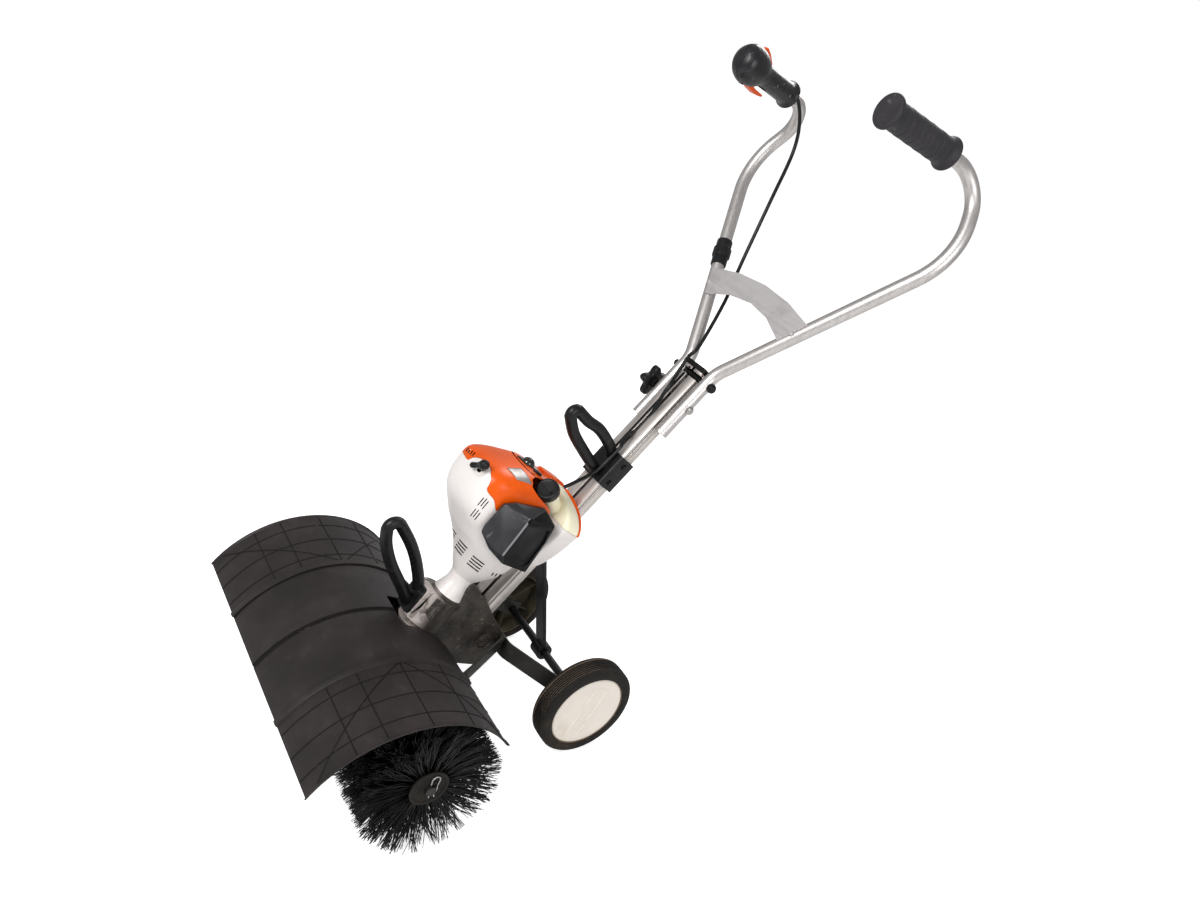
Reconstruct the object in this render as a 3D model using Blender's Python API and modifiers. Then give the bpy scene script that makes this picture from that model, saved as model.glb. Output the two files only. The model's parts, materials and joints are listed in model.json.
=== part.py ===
"""Petrol power brush, walk-behind: a brush in two halves on a worm gear case, a cover in four
panels, an engine on the case's neck, two wheels, and a folding handle on a profile rail.

Metres, Z up. X is the operator's left, -Y is the way it is pushed, and the brush and wheels
stand on z = 0. At the end the whole machine is moved along Y, so that its box is centred.
"""
import math

import bmesh
import bpy
from mathutils import Euler, Matrix, Vector

# Clearance between pieces that touch
GAP = 0.0003

# Overall sizes
AXLE_Z = 0.125
TIP_R = 0.1255
WHEEL_R = 0.098
WHEEL_Y = 0.368
BRUSH_HALF = 0.2815
RAIL_TILT = 55.0
ENGINE_TILT = 58.5

# Worm drive in the gear case
WORM_OFFSET = 0.026
TOOTH_PITCH = 0.0029
TEETH = 38
WORM_ROOT_R = 0.0068
WORM_TIP_R = 0.0090
GEAR_ROOT_R = 0.0166
GEAR_TIP_R = 0.0188
GEAR_HALF = 0.009
CHAMBER_R = 0.0225
CASE_R = 0.030
CASE_HALF = 0.030
BEARING_R = 0.015
BEARING_W = 0.007
OUT_R = 0.009
SHAFT_PAST = 0.0065
DRIVE_R = 0.005
NECK_Z = 0.195
HEAD_R = 0.040
WEB_HALF = 0.032

# Brush
SLEEVE_R = 0.0275
SLEEVE_IN = 0.0365
ROWS = 16
AROUND = 10
STRAND_R = 0.0016
SPLAY = 0.028

# Brush cover: an arc about a line along X
COVER_Y = -0.0365
COVER_Z = 0.0655
COVER_R = 0.200
COVER_WALL = 0.0025
COVER_FROM = 36.0
COVER_TO = 146.0
COVER_HALF = BRUSH_HALF + 0.0035
COVER_SPLIT = 0.130
COVER_STEPS = 12

# Rail profile and the bolts through it, in the rail's own frame
RAIL_HALF = 0.025
RAIL_FRONT = 0.0835
RAIL_REAR = 0.1115
RAIL_WALL = 0.003
RAIL_MID = (RAIL_FRONT + RAIL_REAR) / 2
RAIL_LOW = 0.192
RAIL_TOP = 0.790
CAP_THICK = 0.010
PIVOT_BELOW = 0.065
PIVOT_ALONG = RAIL_TOP - PIVOT_BELOW
STOP_ABOVE = 0.055
BOLT_R = 0.004

# Handle
TUBE_R = 0.0125
TUBE_WALL = 0.00175
TUBE_X = RAIL_HALF + GAP + TUBE_R
GRIP_LONG = 0.150
CABLE_R = 0.0035

# Wheels
TYRE_IN = 0.141
TYRE_OUT = 0.186
RIM_R = 0.0757
AXLE_R = 0.008
AXLE_HALF = 0.178
ARM_X = 0.130
ROUND = 24

for thing in list(bpy.data.objects):
    bpy.data.objects.remove(thing, do_unlink=True)


def collection(name):
    made = bpy.data.collections.new(name)
    bpy.context.scene.collection.children.link(made)
    return made


PARTS = collection("power_brush")
CUTTERS = collection("cutters")
CUTTERS.hide_render = True

# Places for flat outlines: an outline in X and Y rising along Z, in Y and Z, or in X and Z
FLAT = Matrix.Identity(4)
SIDE = Matrix(((0, 0, 1, 0), (1, 0, 0, 0), (0, 1, 0, 0), (0, 0, 0, 1)))
FRONT = Matrix(((1, 0, 0, 0), (0, 0, -1, 0), (0, 1, 0, 0), (0, 0, 0, 1)))


def frame(name, parent, at, turn=(0, 0, 0)):
    made = bpy.data.objects.new(name, None)
    made.empty_display_size = 0.02
    made.parent = parent
    made.location = at
    made.rotation_euler = turn
    PARTS.objects.link(made)
    return made


def place_of(frame_object):
    """The frame's place in the machine, before the last move along Y."""
    place = Matrix.Identity(4)
    while frame_object:
        own = Matrix.Translation(frame_object.location)
        own = own @ frame_object.rotation_euler.to_matrix().to_4x4()
        place = own @ place
        frame_object = frame_object.parent
    return place


MACHINE = frame("machine", None, (0, 0, 0))
BRUSH_AXIS = frame("brush_axis", MACHINE, (0, 0, AXLE_Z))
RAIL_TURN = math.radians(RAIL_TILT - 90)
ENGINE_TURN = math.radians(ENGINE_TILT - 90)
RAIL = frame("rail_frame", BRUSH_AXIS, (0, 0, 0), (RAIL_TURN, 0, 0))
CRANK_AT = (0, WORM_OFFSET * math.cos(ENGINE_TURN), WORM_OFFSET * math.sin(ENGINE_TURN))
CASE = frame("case_frame", BRUSH_AXIS, CRANK_AT, (ENGINE_TURN, 0, 0))
ENGINE = frame("engine_frame", CASE, (0, 0, NECK_Z))
AXLE = frame("axle_frame", MACHINE, (0, WHEEL_Y, WHEEL_R))
PIVOT = frame("handle_axis", RAIL, (0, RAIL_MID, PIVOT_ALONG), (-RAIL_TURN, 0, 0))
PIVOT_AT = place_of(PIVOT).translation


def add(name, mesh, parent):
    made = bpy.data.objects.new(name, mesh)
    made.parent = parent
    PARTS.objects.link(made)
    return made


def from_bmesh(name, bm, parent):
    bmesh.ops.recalc_face_normals(bm, faces=bm.faces)
    mesh = bpy.data.meshes.new(name)
    bm.to_mesh(mesh)
    bm.free()
    return add(name, mesh, parent)


def box(name, low, high, parent):
    bm = bmesh.new()
    low, high = Vector(low), Vector(high)
    scale = Matrix.Diagonal((*(high - low), 1))
    bmesh.ops.create_cube(bm, size=1, matrix=Matrix.Translation((low + high) / 2) @ scale)
    return from_bmesh(name, bm, parent)


def rod(name, radius, start, end, parent, sides=20, end_radius=None):
    bm = bmesh.new()
    start, end = Vector(start), Vector(end)
    along = end - start
    turn = along.to_track_quat("Z", "Y").to_matrix().to_4x4()
    bmesh.ops.create_cone(
        bm,
        cap_ends=True,
        segments=sides,
        radius1=radius,
        radius2=radius if end_radius is None else end_radius,
        depth=along.length,
        matrix=Matrix.Translation((start + end) / 2) @ turn,
    )
    return from_bmesh(name, bm, parent)


def turned(name, profile, parent, turn=(0, 0, 0), at=(0, 0, 0), steps=24, ring=False):
    """A turned piece. The profile is radius and height, and is run down its outer side."""
    mesh = bpy.data.meshes.new(name)
    count = len(profile)
    ends = zip(profile, profile[1:] + profile[:1])
    if sum(a[0] * b[1] - b[0] * a[1] for a, b in ends) > 0:
        profile = profile[::-1]
    edges = [(i, i + 1) for i in range(count - 1)]
    if ring:
        edges.append((count - 1, 0))
    mesh.from_pydata([(r, 0, z) for r, z in profile], edges, [])
    made = add(name, mesh, parent)
    made.location = at
    made.rotation_euler = turn
    screw = made.modifiers.new("turned", "SCREW")
    screw.steps = steps
    screw.render_steps = steps
    screw.use_merge_vertices = True
    screw.merge_threshold = 0.00001
    return made


def from_curve(name, curve, place, parent):
    """The curve's own mesh, closed where its caps meet the sides."""
    holder = bpy.data.objects.new(name + "_curve", curve)
    bpy.context.scene.collection.objects.link(holder)
    graph = bpy.context.evaluated_depsgraph_get()
    mesh = bpy.data.meshes.new_from_object(holder.evaluated_get(graph))
    bpy.data.objects.remove(holder, do_unlink=True)
    bm = bmesh.new()
    bm.from_mesh(mesh)
    bpy.data.meshes.remove(mesh)
    bmesh.ops.remove_doubles(bm, verts=bm.verts, dist=0.00001)
    bmesh.ops.transform(bm, matrix=place, verts=bm.verts)
    return from_bmesh(name, bm, parent)


def spline(curve, points, closed):
    line = curve.splines.new("POLY")
    line.points.add(len(points) - 1)
    for vertex, point in zip(line.points, points):
        vertex.co = (*point, 1)
    line.use_cyclic_u = closed


def plate(name, outline, thick, place, parent):
    """A flat outline, half its thickness to each side of its plane."""
    curve = bpy.data.curves.new(name, "CURVE")
    curve.dimensions = "2D"
    curve.fill_mode = "BOTH"
    curve.extrude = thick / 2
    spline(curve, [(a, b, 0) for a, b in outline], True)
    return from_curve(name, curve, place, parent)


def tube(name, points, radius, parent, resolution=3):
    curve = bpy.data.curves.new(name, "CURVE")
    curve.dimensions = "3D"
    curve.bevel_depth = radius
    curve.bevel_resolution = resolution
    curve.use_fill_caps = True
    spline(curve, points, False)
    return from_curve(name, curve, FLAT, parent)


def loft(name, rings, parent):
    """A closed solid through rings with the same number of points."""
    bm = bmesh.new()
    rows = [[bm.verts.new(point) for point in ring] for ring in rings]
    count = len(rows[0])
    for low, high in zip(rows, rows[1:]):
        for i in range(count):
            j = (i + 1) % count
            bm.faces.new((low[i], low[j], high[j], high[i]))
    bm.faces.new(rows[0][::-1])
    bm.faces.new(rows[-1])
    return from_bmesh(name, bm, parent)


def boolean(target, operand, kind):
    step = target.modifiers.new(operand.name, "BOOLEAN")
    step.operation = kind
    step.solver = "EXACT"
    step.object = operand
    PARTS.objects.unlink(operand)
    CUTTERS.objects.link(operand)
    operand.hide_render = True
    operand.display_type = "WIRE"
    return target


def join(target, *others):
    for other in others:
        boolean(target, other, "UNION")
    return target


def cut(target, *others):
    for other in others:
        boolean(target, other, "DIFFERENCE")
    return target


def paint(piece, colour, metallic=0.0, roughness=0.5):
    material = bpy.data.materials.new(piece.name)
    material.use_nodes = True
    shader = material.node_tree.nodes["Principled BSDF"]
    shader.inputs["Base Color"].default_value = (*colour, 1)
    shader.inputs["Metallic"].default_value = metallic
    shader.inputs["Roughness"].default_value = roughness
    piece.data.materials.clear()
    piece.data.materials.append(material)
    return piece


STEEL = ((0.55, 0.55, 0.56), 1.0, 0.35)
ALUMINIUM = ((0.62, 0.61, 0.60), 1.0, 0.4)
CASTING = ((0.30, 0.27, 0.25), 0.6, 0.6)
BLACK = ((0.02, 0.02, 0.022), 0.0, 0.5)
CHARCOAL = ((0.045, 0.04, 0.038), 0.0, 0.6)
WHITE = ((0.80, 0.78, 0.76), 0.0, 0.4)
ORANGE = ((0.75, 0.10, 0.01), 0.0, 0.4)
CREAM = ((0.70, 0.66, 0.45), 0.0, 0.4)


def fillet(points, radii, steps=4):
    """The points of a path with each corner rounded to its radius."""
    points = [Vector(p) for p in points]
    path = [points[0]]
    for before, corner, after, radius in zip(points, points[1:], points[2:], radii):
        back = (before - corner).normalized()
        on = (after - corner).normalized()
        half = back.angle(on) / 2
        reach = radius / math.tan(half)
        middle = corner + (back + on).normalized() * (radius / math.sin(half))
        start = corner + back * reach - middle
        end = corner + on * reach - middle
        sweep = start.angle(end)
        for k in range(steps + 1):
            a, b = math.sin(sweep * (1 - k / steps)), math.sin(sweep * k / steps)
            path.append(middle + (start * a + end * b) / math.sin(sweep))
    path.append(points[-1])
    return path


def strip(path, thick):
    """The outline of a flat bar that follows a path in a plane, its corners mitred."""
    path = [Vector(p) for p in path]
    left, right = [], []
    for i, point in enumerate(path):
        back = (point - path[i - 1]).normalized() if i else None
        on = (path[i + 1] - point).normalized() if i + 1 < len(path) else None
        along = ((back or on) + (on or back)).normalized()
        spread = thick / 2 / along.dot(on or back)
        normal = Vector((-along.y, along.x))
        left.append(point + normal * spread)
        right.append(point - normal * spread)
    return left + right[::-1]


def arc(middle, radius, start, end, steps):
    """Points of an arc in a plane, from one angle to the other in degrees."""
    angles = [math.radians(start + (end - start) * k / steps) for k in range(steps + 1)]
    return [(middle[0] + radius * math.cos(a), middle[1] + radius * math.sin(a)) for a in angles]


def section(z, x0, x1, y0, y1, power, count=20):
    """A ring between a circle (power 2) and a box, inside the given limits."""
    ring = []
    for k in range(count):
        c, s = math.cos(math.tau * k / count), math.sin(math.tau * k / count)
        a = math.copysign(abs(c) ** (2 / power), c)
        b = math.copysign(abs(s) ** (2 / power), s)
        ring.append(((x0 + x1) / 2 + a * (x1 - x0) / 2, (y0 + y1) / 2 + b * (y1 - y0) / 2, z))
    return ring


def of_rail(y, z, x=0.0):
    """A point of the rail's frame, given in the machine's coordinates."""
    return place_of(RAIL) @ Vector((x, y, z))


# Gear case, worm drive and brush

WEB = [(0.085, 0.255), (0.160, 0.262), (0.193, 0.2645), (0.215, 0.227), (0.253, 0.173),
       (0.2387, 0.142), (0.207, 0.117), (0.150, 0.135), (0.075, 0.160)]
PLUG_AT = (0.203, 0.175)
HOLDER_Y = 0.238
HOLDER_Z = (0.159, 0.185)
HOLDER_THICK = 0.004
SEAT_X = CASE_HALF - 0.0012 - BEARING_W
HEAD_Y = -0.012
FOOT_Y = -0.058


def gear_case():
    axle_y = -WORM_OFFSET
    case = rod("gear_case", 0.024, (0, 0, -0.024), (0, 0, 0.130), CASE, 20)
    ends = (-CASE_HALF, axle_y, 0), (CASE_HALF, axle_y, 0)
    join(case, rod("case_chamber", CASE_R, *ends, CASE, 20))
    cone = rod("case_cone", 0.026, (0, HEAD_Y / 2, 0.106), (0, HEAD_Y, 0.1285), CASE, 20, HEAD_R)
    join(case, cone)
    join(case, rod("case_head", HEAD_R, (0, HEAD_Y, 0.128), (0, HEAD_Y, 0.190), CASE, 20))
    join(case, rod("case_seat", 0.030, (0, 0, 0.185), (0, 0, NECK_Z - GAP), CASE, 20))
    join(case, box("case_foot", (-0.022, FOOT_Y, 0.134), (0.022, -0.030, 0.1905), CASE))
    join(case, plate("case_web", WEB, 2 * WEB_HALF, SIDE, MACHINE))
    cavity = (-CASE_HALF - 0.002, axle_y, 0), (SEAT_X - 0.0008, axle_y, 0)
    cut(case, rod("chamber_cavity", CHAMBER_R, *cavity, CASE, 20))
    seat = (SEAT_X - 0.002, axle_y, 0), (SEAT_X + BEARING_W + GAP, axle_y, 0)
    cut(case, rod("bearing_seat", BEARING_R + 2 * GAP, *seat, CASE, 16))
    bore = (0, axle_y, 0), (CASE_HALF + 0.002, axle_y, 0)
    cut(case, rod("shaft_bore", OUT_R + 2 * GAP, *bore, CASE, 16))
    cut(case, rod("worm_bore", 0.0115, (0, 0, -0.0165), (0, 0, 0.032), CASE, 16))
    drive = (0, 0, -0.0205), (0, 0, NECK_Z + 0.002)
    cut(case, rod("drive_bore", DRIVE_R + 2 * GAP, *drive, CASE, 12))
    plug = (0.022, *PLUG_AT), (WEB_HALF + 0.002, *PLUG_AT)
    cut(case, rod("plug_hole", 0.0119, *plug, MACHINE, 16))
    low = (-RAIL_HALF - GAP, RAIL_FRONT - GAP, RAIL_LOW - GAP)
    high = (RAIL_HALF + GAP, RAIL_REAR + GAP, RAIL_LOW + 0.07)
    cut(case, box("rail_pocket", low, high, RAIL))
    half = HOLDER_THICK / 2 + GAP
    low = (-0.05, HOLDER_Y - half, HOLDER_Z[0] - GAP)
    high = (0.05, HOLDER_Y + half, HOLDER_Z[1] + GAP)
    cut(case, box("holder_slot", low, high, MACHINE))
    return paint(case, *CASTING)


def gear_cover():
    """The lid on the operator's right, with the other bearing's seat in its spigot."""
    face = CASE_HALF + GAP
    tip = CASE_HALF - 0.0012 - BEARING_W - 0.002
    profile = [(OUT_R + 2 * GAP, face + 0.0042), (0.027, face + 0.0042), (0.029, face + 0.0025),
               (0.029, face), (CHAMBER_R - 2 * GAP, face), (CHAMBER_R - 2 * GAP, tip),
               (BEARING_R + 2 * GAP, tip), (BEARING_R + 2 * GAP, SEAT_X + BEARING_W + GAP),
               (OUT_R + 2 * GAP, SEAT_X + BEARING_W + GAP)]
    cover = turned("gear_cover", profile, BRUSH_AXIS, (0, -math.pi / 2, 0), steps=16, ring=True)
    return paint(cover, *CASTING)


def filler_plug():
    profile = [(0, 0.0012), (0.0095, 0.0012), (0.0116, 0), (0.0116, -0.0095), (0, -0.0095)]
    at = (WEB_HALF, *PLUG_AT)
    plug = turned("filler_plug", profile, MACHINE, (0, math.pi / 2, 0), at, 16)
    half = 0.0012
    low = (WEB_HALF - 0.001, PLUG_AT[0] - 0.007, PLUG_AT[1] - half)
    high = (WEB_HALF + 0.003, PLUG_AT[0] + 0.007, PLUG_AT[1] + half)
    return paint(cut(plug, box("plug_slot", low, high, MACHINE)), *STEEL)


def worm_shaft():
    """The shaft from the clutch drum to the worm, with a right-hand thread."""
    shaft = rod("worm_shaft", DRIVE_R, (0, 0, -0.020), (0, 0, NECK_Z + 0.079), CASE, 12)
    join(shaft, rod("worm_core", WORM_ROOT_R, (0, 0, -0.0125), (0, 0, 0.0125), CASE, 12))
    rings = []
    turns, per_turn = 6, 8
    for k in range(turns * per_turn + 1):
        angle = math.tau * k / per_turn
        z = TOOTH_PITCH * (k / per_turn - turns / 2)
        out = Vector((math.cos(angle), math.sin(angle), 0))
        shape = ((WORM_ROOT_R - 0.0006, 0.00082), (WORM_TIP_R, 0.0003))
        ring = [out * r + Vector((0, 0, z + side * w)) for side in (-1,) for r, w in shape]
        ring += [out * r + Vector((0, 0, z + w)) for r, w in shape[::-1]]
        rings.append(ring)
    return paint(join(shaft, loft("worm_thread", rings, CASE)), *STEEL)


def worm_wheel():
    """Its teeth slant by the worm's lead, and stand midway in the worm's thread at rest."""
    slant = TOOTH_PITCH / (math.tau * (WORM_ROOT_R + WORM_TIP_R) / 2)
    pitch_r = TOOTH_PITCH * TEETH / math.tau
    rings = []
    for x in (-GEAR_HALF, GEAR_HALF):
        ring = []
        for k in range(TEETH):
            # the angle is from the line to the worm, whose thread passes a quarter pitch below it
            middle = math.tau * (k + 0.25) / TEETH + x * slant / pitch_r
            for r, w in ((GEAR_ROOT_R, -0.00085), (GEAR_TIP_R, 0), (GEAR_ROOT_R, 0.00085)):
                a = middle + w / r + ENGINE_TURN
                ring.append((x, r * math.cos(a), r * math.sin(a)))
        rings.append(ring)
    wheel = loft("worm_wheel", rings, BRUSH_AXIS)
    bore = (-0.02, 0, 0), (0.02, 0, 0)
    cut(wheel, rod("wheel_bore", OUT_R + GAP, *bore, BRUSH_AXIS, 20))
    return paint(wheel, *STEEL)


def clutch_drum():
    profile = [(DRIVE_R + GAP, 0.066), (0.009, 0.066), (0.009, 0.0605), (0.026, 0.0605),
               (0.026, 0.080), (0.0285, 0.080), (0.0285, 0.058), (DRIVE_R + GAP, 0.058)]
    return paint(turned("clutch_drum", profile, ENGINE, steps=16, ring=True), *STEEL)


def bearing(name, side):
    low, high = SEAT_X, SEAT_X + BEARING_W
    profile = [(OUT_R + GAP, high), (BEARING_R, high), (BEARING_R, low), (OUT_R + GAP, low)]
    turn = (0, side * math.pi / 2, 0)
    return paint(turned(name, profile, BRUSH_AXIS, turn, steps=20, ring=True), *STEEL)


OUT_HALF = BRUSH_HALF + SHAFT_PAST
CLIP_X = OUT_HALF - 0.0045
WIRE_R = 0.0012


def output_shaft():
    shaft = rod("output_shaft", OUT_R, (-OUT_HALF, 0, 0), (OUT_HALF, 0, 0), BRUSH_AXIS, 20)
    for side in (-1, 1):
        ends = (side * CLIP_X, 0, -0.02), (side * CLIP_X, 0, 0.02)
        cut(shaft, rod("clip_hole", WIRE_R + 1.5 * GAP, *ends, BRUSH_AXIS, 8))
    return paint(shaft, *STEEL)


def bristles(name, side):
    """Half of the brush: strands in rows, fused to the sleeve that slides on the shaft."""
    low, high = SLEEVE_IN, BRUSH_HALF
    bm = bmesh.new()
    rings = []
    for x, r in ((low, SLEEVE_R), (high - 0.004, SLEEVE_R), (high - 0.004, 0.034), (high, 0.034)):
        ring = []
        for k in range(2 * AROUND):
            a = math.tau * (k + 0.5) / (2 * AROUND) - math.pi / 2
            ring.append((side * x, r * math.cos(a), r * math.sin(a)))
        rings.append(ring)
    sleeve = loft(name, rings, BRUSH_AXIS)
    for row in range(ROWS):
        x = low + 0.0085 + (high - 0.0095 - low - 0.0085) * row / (ROWS - 1)
        lean = SPLAY * (x / high) ** 2
        for k in range(AROUND):
            a = math.tau * (k + 0.5 * (row % 2)) / AROUND - math.pi / 2
            out = Vector((0, math.cos(a), math.sin(a)))
            root = Vector((side * x, 0, 0)) + out * (SLEEVE_R - 0.004)
            tip = Vector((side * (x + lean), 0, 0)) + out * TIP_R
            along = tip - root
            turn = along.to_track_quat("Z", "Y").to_matrix().to_4x4()
            bmesh.ops.create_cone(
                bm, cap_ends=True, segments=3, radius1=STRAND_R, radius2=STRAND_R * 0.8,
                depth=along.length, matrix=Matrix.Translation((root + tip) / 2) @ turn)
    join(sleeve, from_bmesh(name + "_strands", bm, BRUSH_AXIS))
    bore = (side * (low - 0.005), 0, 0), (side * (high + 0.005), 0, 0)
    cut(sleeve, rod(name + "_bore", OUT_R + GAP, *bore, BRUSH_AXIS, 20))
    cut(sleeve, box(name + "_ground", (-0.4, -0.2, -0.1), (0.4, 0.2, 0), MACHINE))
    return paint(sleeve, *BLACK)


def spring_clip(name, side):
    """A clip of round wire: one leg through the shaft, the other bent round it."""
    end = OUT_R + 0.008
    path = [(0, 0.001 - end), (0, end), (0.0015, end + 0.0055), (0.007, end + 0.0092)]
    outer = [(0.0032, end + 0.0065), (0.0048, end + 0.001), (0.0032, end - 0.006), (0.0023, 0.006),
             (0.0029, 0), (0.0013, -0.0065), (-0.0012, -0.0112), (0.0010, -end)]
    path += [(OUT_R + out, z) for out, z in outer]
    points = [(side * CLIP_X, y, z) for y, z in path]
    return paint(tube(name, points, WIRE_R, BRUSH_AXIS, 1), *STEEL)


# Cover and its holder

def cover_panel(name, side, profile):
    """A strip of the cover's arc: the profile is X and how far it stands out."""
    bm = bmesh.new()
    first = math.radians(COVER_FROM)
    line = []
    for x, out in profile:
        r = COVER_R + out
        line.append(bm.verts.new((side * x, r * math.cos(first), r * math.sin(first))))
    edges = [bm.edges.new(pair) for pair in zip(line, line[1:])]
    angle = math.radians(COVER_TO - COVER_FROM)
    bmesh.ops.spin(bm, geom=line + edges, cent=(0, 0, 0), axis=(1, 0, 0), angle=angle,
                   steps=COVER_STEPS)
    bmesh.ops.translate(bm, vec=(0, COVER_Y, COVER_Z), verts=bm.verts)
    for face in bm.faces:
        face.normal_update()
        middle = face.calc_center_median() - Vector((0, COVER_Y, COVER_Z))
        if face.normal.dot(Vector((0, middle.y, middle.z))) < 0:
            face.normal_flip()
    mesh = bpy.data.meshes.new(name)
    bm.to_mesh(mesh)
    bm.free()
    panel = add(name, mesh, MACHINE)
    wall = panel.modifiers.new("wall", "SOLIDIFY")
    wall.thickness = COVER_WALL
    wall.offset = -1
    return panel


def cover_centre(name, side):
    panel = cover_panel(name, side, [(0.0015, 0), (COVER_SPLIT, 0)])
    reach = HEAD_R + GAP
    notch = box(name + "_notch", (-reach, 0.028, 0.1), (reach, 0.2, 0.4), MACHINE)
    return paint(cut(panel, notch), *CHARCOAL)


def cover_end(name, side):
    start = COVER_SPLIT + GAP
    profile = [(start, 0.003), (start + 0.0075, 0.003), (start + 0.009, 0),
               (COVER_HALF - 0.004, 0), (COVER_HALF, 0.003)]
    return paint(cover_panel(name, side, profile), *CHARCOAL)


def cover_holder():
    """One bent strip through the case's slot, its ends along the cover's rear edge."""
    rear = COVER_Y + COVER_R * math.cos(math.radians(COVER_FROM))
    edge = rear + GAP + HOLDER_THICK / 2
    half = [(0.040, HOLDER_Y), (0.096, 0.150), (0.109, edge), (COVER_SPLIT - 0.001, edge)]
    path = [(-x, y) for x, y in half[::-1]] + half
    place = Matrix.Translation((0, 0, sum(HOLDER_Z) / 2))
    high = HOLDER_Z[1] - HOLDER_Z[0]
    outline = strip(path, HOLDER_THICK)
    return paint(plate("cover_holder", outline, high, place, MACHINE), *ALUMINIUM)


# Rail, wheels and loop handles

def rail():
    slot, wall = CABLE_R + GAP, RAIL_WALL
    groove = (0.0895, 0.0925)
    half = [(slot, RAIL_FRONT), (RAIL_HALF, RAIL_FRONT), (RAIL_HALF, groove[0]),
            (RAIL_HALF - 0.001, groove[0]), (RAIL_HALF - 0.001, groove[1]),
            (RAIL_HALF, groove[1]), (RAIL_HALF, RAIL_REAR)]
    inner = [(RAIL_HALF - wall, RAIL_REAR - wall), (RAIL_HALF - wall, RAIL_FRONT + wall),
             (slot, RAIL_FRONT + wall)]
    outline = [(-x, y) for x, y in half] + half[::-1] + inner[::-1] + [(-x, y) for x, y in inner]
    place = Matrix.Translation((0, 0, (RAIL_LOW + RAIL_TOP) / 2))
    bar = plate("rail", outline, RAIL_TOP - RAIL_LOW, place, RAIL)
    ends = (-0.03, RAIL_MID, PIVOT_ALONG), (0.03, RAIL_MID, PIVOT_ALONG)
    cut(bar, rod("clamp_hole", BOLT_R + 1.5 * GAP, *ends, RAIL, 12))
    stop = PIVOT_ALONG + STOP_ABOVE
    # the stop bolt sinks a little as it swings out of the notch
    depth = RAIL_MID - RAIL_FRONT + BOLT_R
    sink = STOP_ABOVE - math.sqrt(STOP_ABOVE**2 - depth**2)
    low = (-0.03, RAIL_FRONT - 0.002, stop - BOLT_R - GAP - sink)
    high = (0.03, RAIL_MID + BOLT_R + GAP, stop + BOLT_R + GAP)
    cut(bar, box("stop_notch", low, high, RAIL))
    return paint(bar, *ALUMINIUM)


def rail_end_cap():
    base = RAIL_TOP + GAP
    low, high = (-RAIL_HALF, RAIL_FRONT, base), (RAIL_HALF, RAIL_REAR, RAIL_TOP + CAP_THICK)
    cap = box("rail_end_cap", low, high, RAIL)
    inner = RAIL_HALF - RAIL_WALL - GAP
    low = (-inner, 0.1035, RAIL_TOP - 0.020)
    high = (inner, RAIL_REAR - RAIL_WALL - GAP, RAIL_TOP + 0.001)
    return paint(join(cap, box("cap_insert", low, high, RAIL)), *BLACK)


ARMS_AT = (0, 0.24585, 0.1575)
ARMS_TURN = math.radians(-24.8)
ARM_WIDE = 0.032
ARM_THICK = 0.005


def wheel_arms():
    """One flat bar bent to a U, its base on the case and the axle through its ends."""
    arms = frame("arms_frame", MACHINE, ARMS_AT, (ARMS_TURN, 0, 0))
    base = GAP + ARM_THICK / 2
    half = [(0.045, base), (ARM_X, 0.098), (ARM_X, 0.150)]
    corners = [(-x, y, 0) for x, y in half[::-1]] + [(x, y, 0) for x, y in half]
    path = [p.xy for p in fillet(corners, [0.02] * 4, 3)]
    bar = plate("wheel_arms", strip(path, ARM_THICK), ARM_WIDE, FLAT, arms)
    ends = (-0.15, 0, 0), (0.15, 0, 0)
    return paint(cut(bar, rod("arm_holes", AXLE_R + GAP, *ends, AXLE, 16)), *ALUMINIUM)


def axle_strut():
    """The flat strut from the rail's rear face to the axle."""
    face = RAIL_REAR + GAP
    top = of_rail(face + 0.001, 0.359)
    along = Vector((WHEEL_Y, WHEEL_R)) - top.yz
    path = [top.yz, top.yz + along * 0.955]
    strut = plate("axle_strut", strip(path, 0.008), 0.030, SIDE, MACHINE)
    join(strut, rod("strut_boss", 0.017, (-0.015, 0, 0), (0.015, 0, 0), AXLE, 20))
    join(strut, box("strut_foot", (-0.015, face, 0.333), (0.015, face + 0.004, 0.385), RAIL))
    cut(strut, box("rail_side", (-0.02, face - 0.03, 0.32), (0.02, face, 0.40), RAIL))
    cut(strut, rod("strut_bore", AXLE_R + GAP, (-0.02, 0, 0), (0.02, 0, 0), AXLE, 16))
    return paint(strut, *ALUMINIUM)


def wheel_axle():
    ends = (-AXLE_HALF, 0, 0), (AXLE_HALF, 0, 0)
    return paint(rod("wheel_axle", AXLE_R, *ends, AXLE, 16), *STEEL)


def tyre(name, side):
    profile = [(RIM_R, TYRE_OUT), (0.090, TYRE_OUT - 0.0002), (0.096, TYRE_OUT - 0.0035),
               (WHEEL_R, TYRE_OUT - 0.009), (WHEEL_R, TYRE_IN + 0.009),
               (0.096, TYRE_IN + 0.0035), (0.090, TYRE_IN + 0.0002), (RIM_R, TYRE_IN)]
    turn = (0, side * math.pi / 2, 0)
    return paint(turned(name, profile, AXLE, turn, steps=ROUND, ring=True), *CHARCOAL)


def wheel(name, side):
    rim, bore, hub = RIM_R - GAP, AXLE_R + GAP, 0.018
    low, face = ARM_X + ARM_THICK / 2 + 0.001, TYRE_OUT - 0.002
    profile = [(0, face), (rim - 0.003, face), (rim, face - 0.003), (rim, TYRE_IN + 0.002),
               (rim - 0.003, TYRE_IN + 0.002), (rim - 0.003, face - 0.007), (hub, face - 0.007),
               (hub, low), (bore, low), (bore, AXLE_HALF + 0.0005), (0, AXLE_HALF + 0.0005)]
    turn = (0, side * math.pi / 2, 0)
    return paint(turned(name, profile, AXLE, turn, steps=ROUND), *WHITE)


LOOP_R = 0.0105


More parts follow.
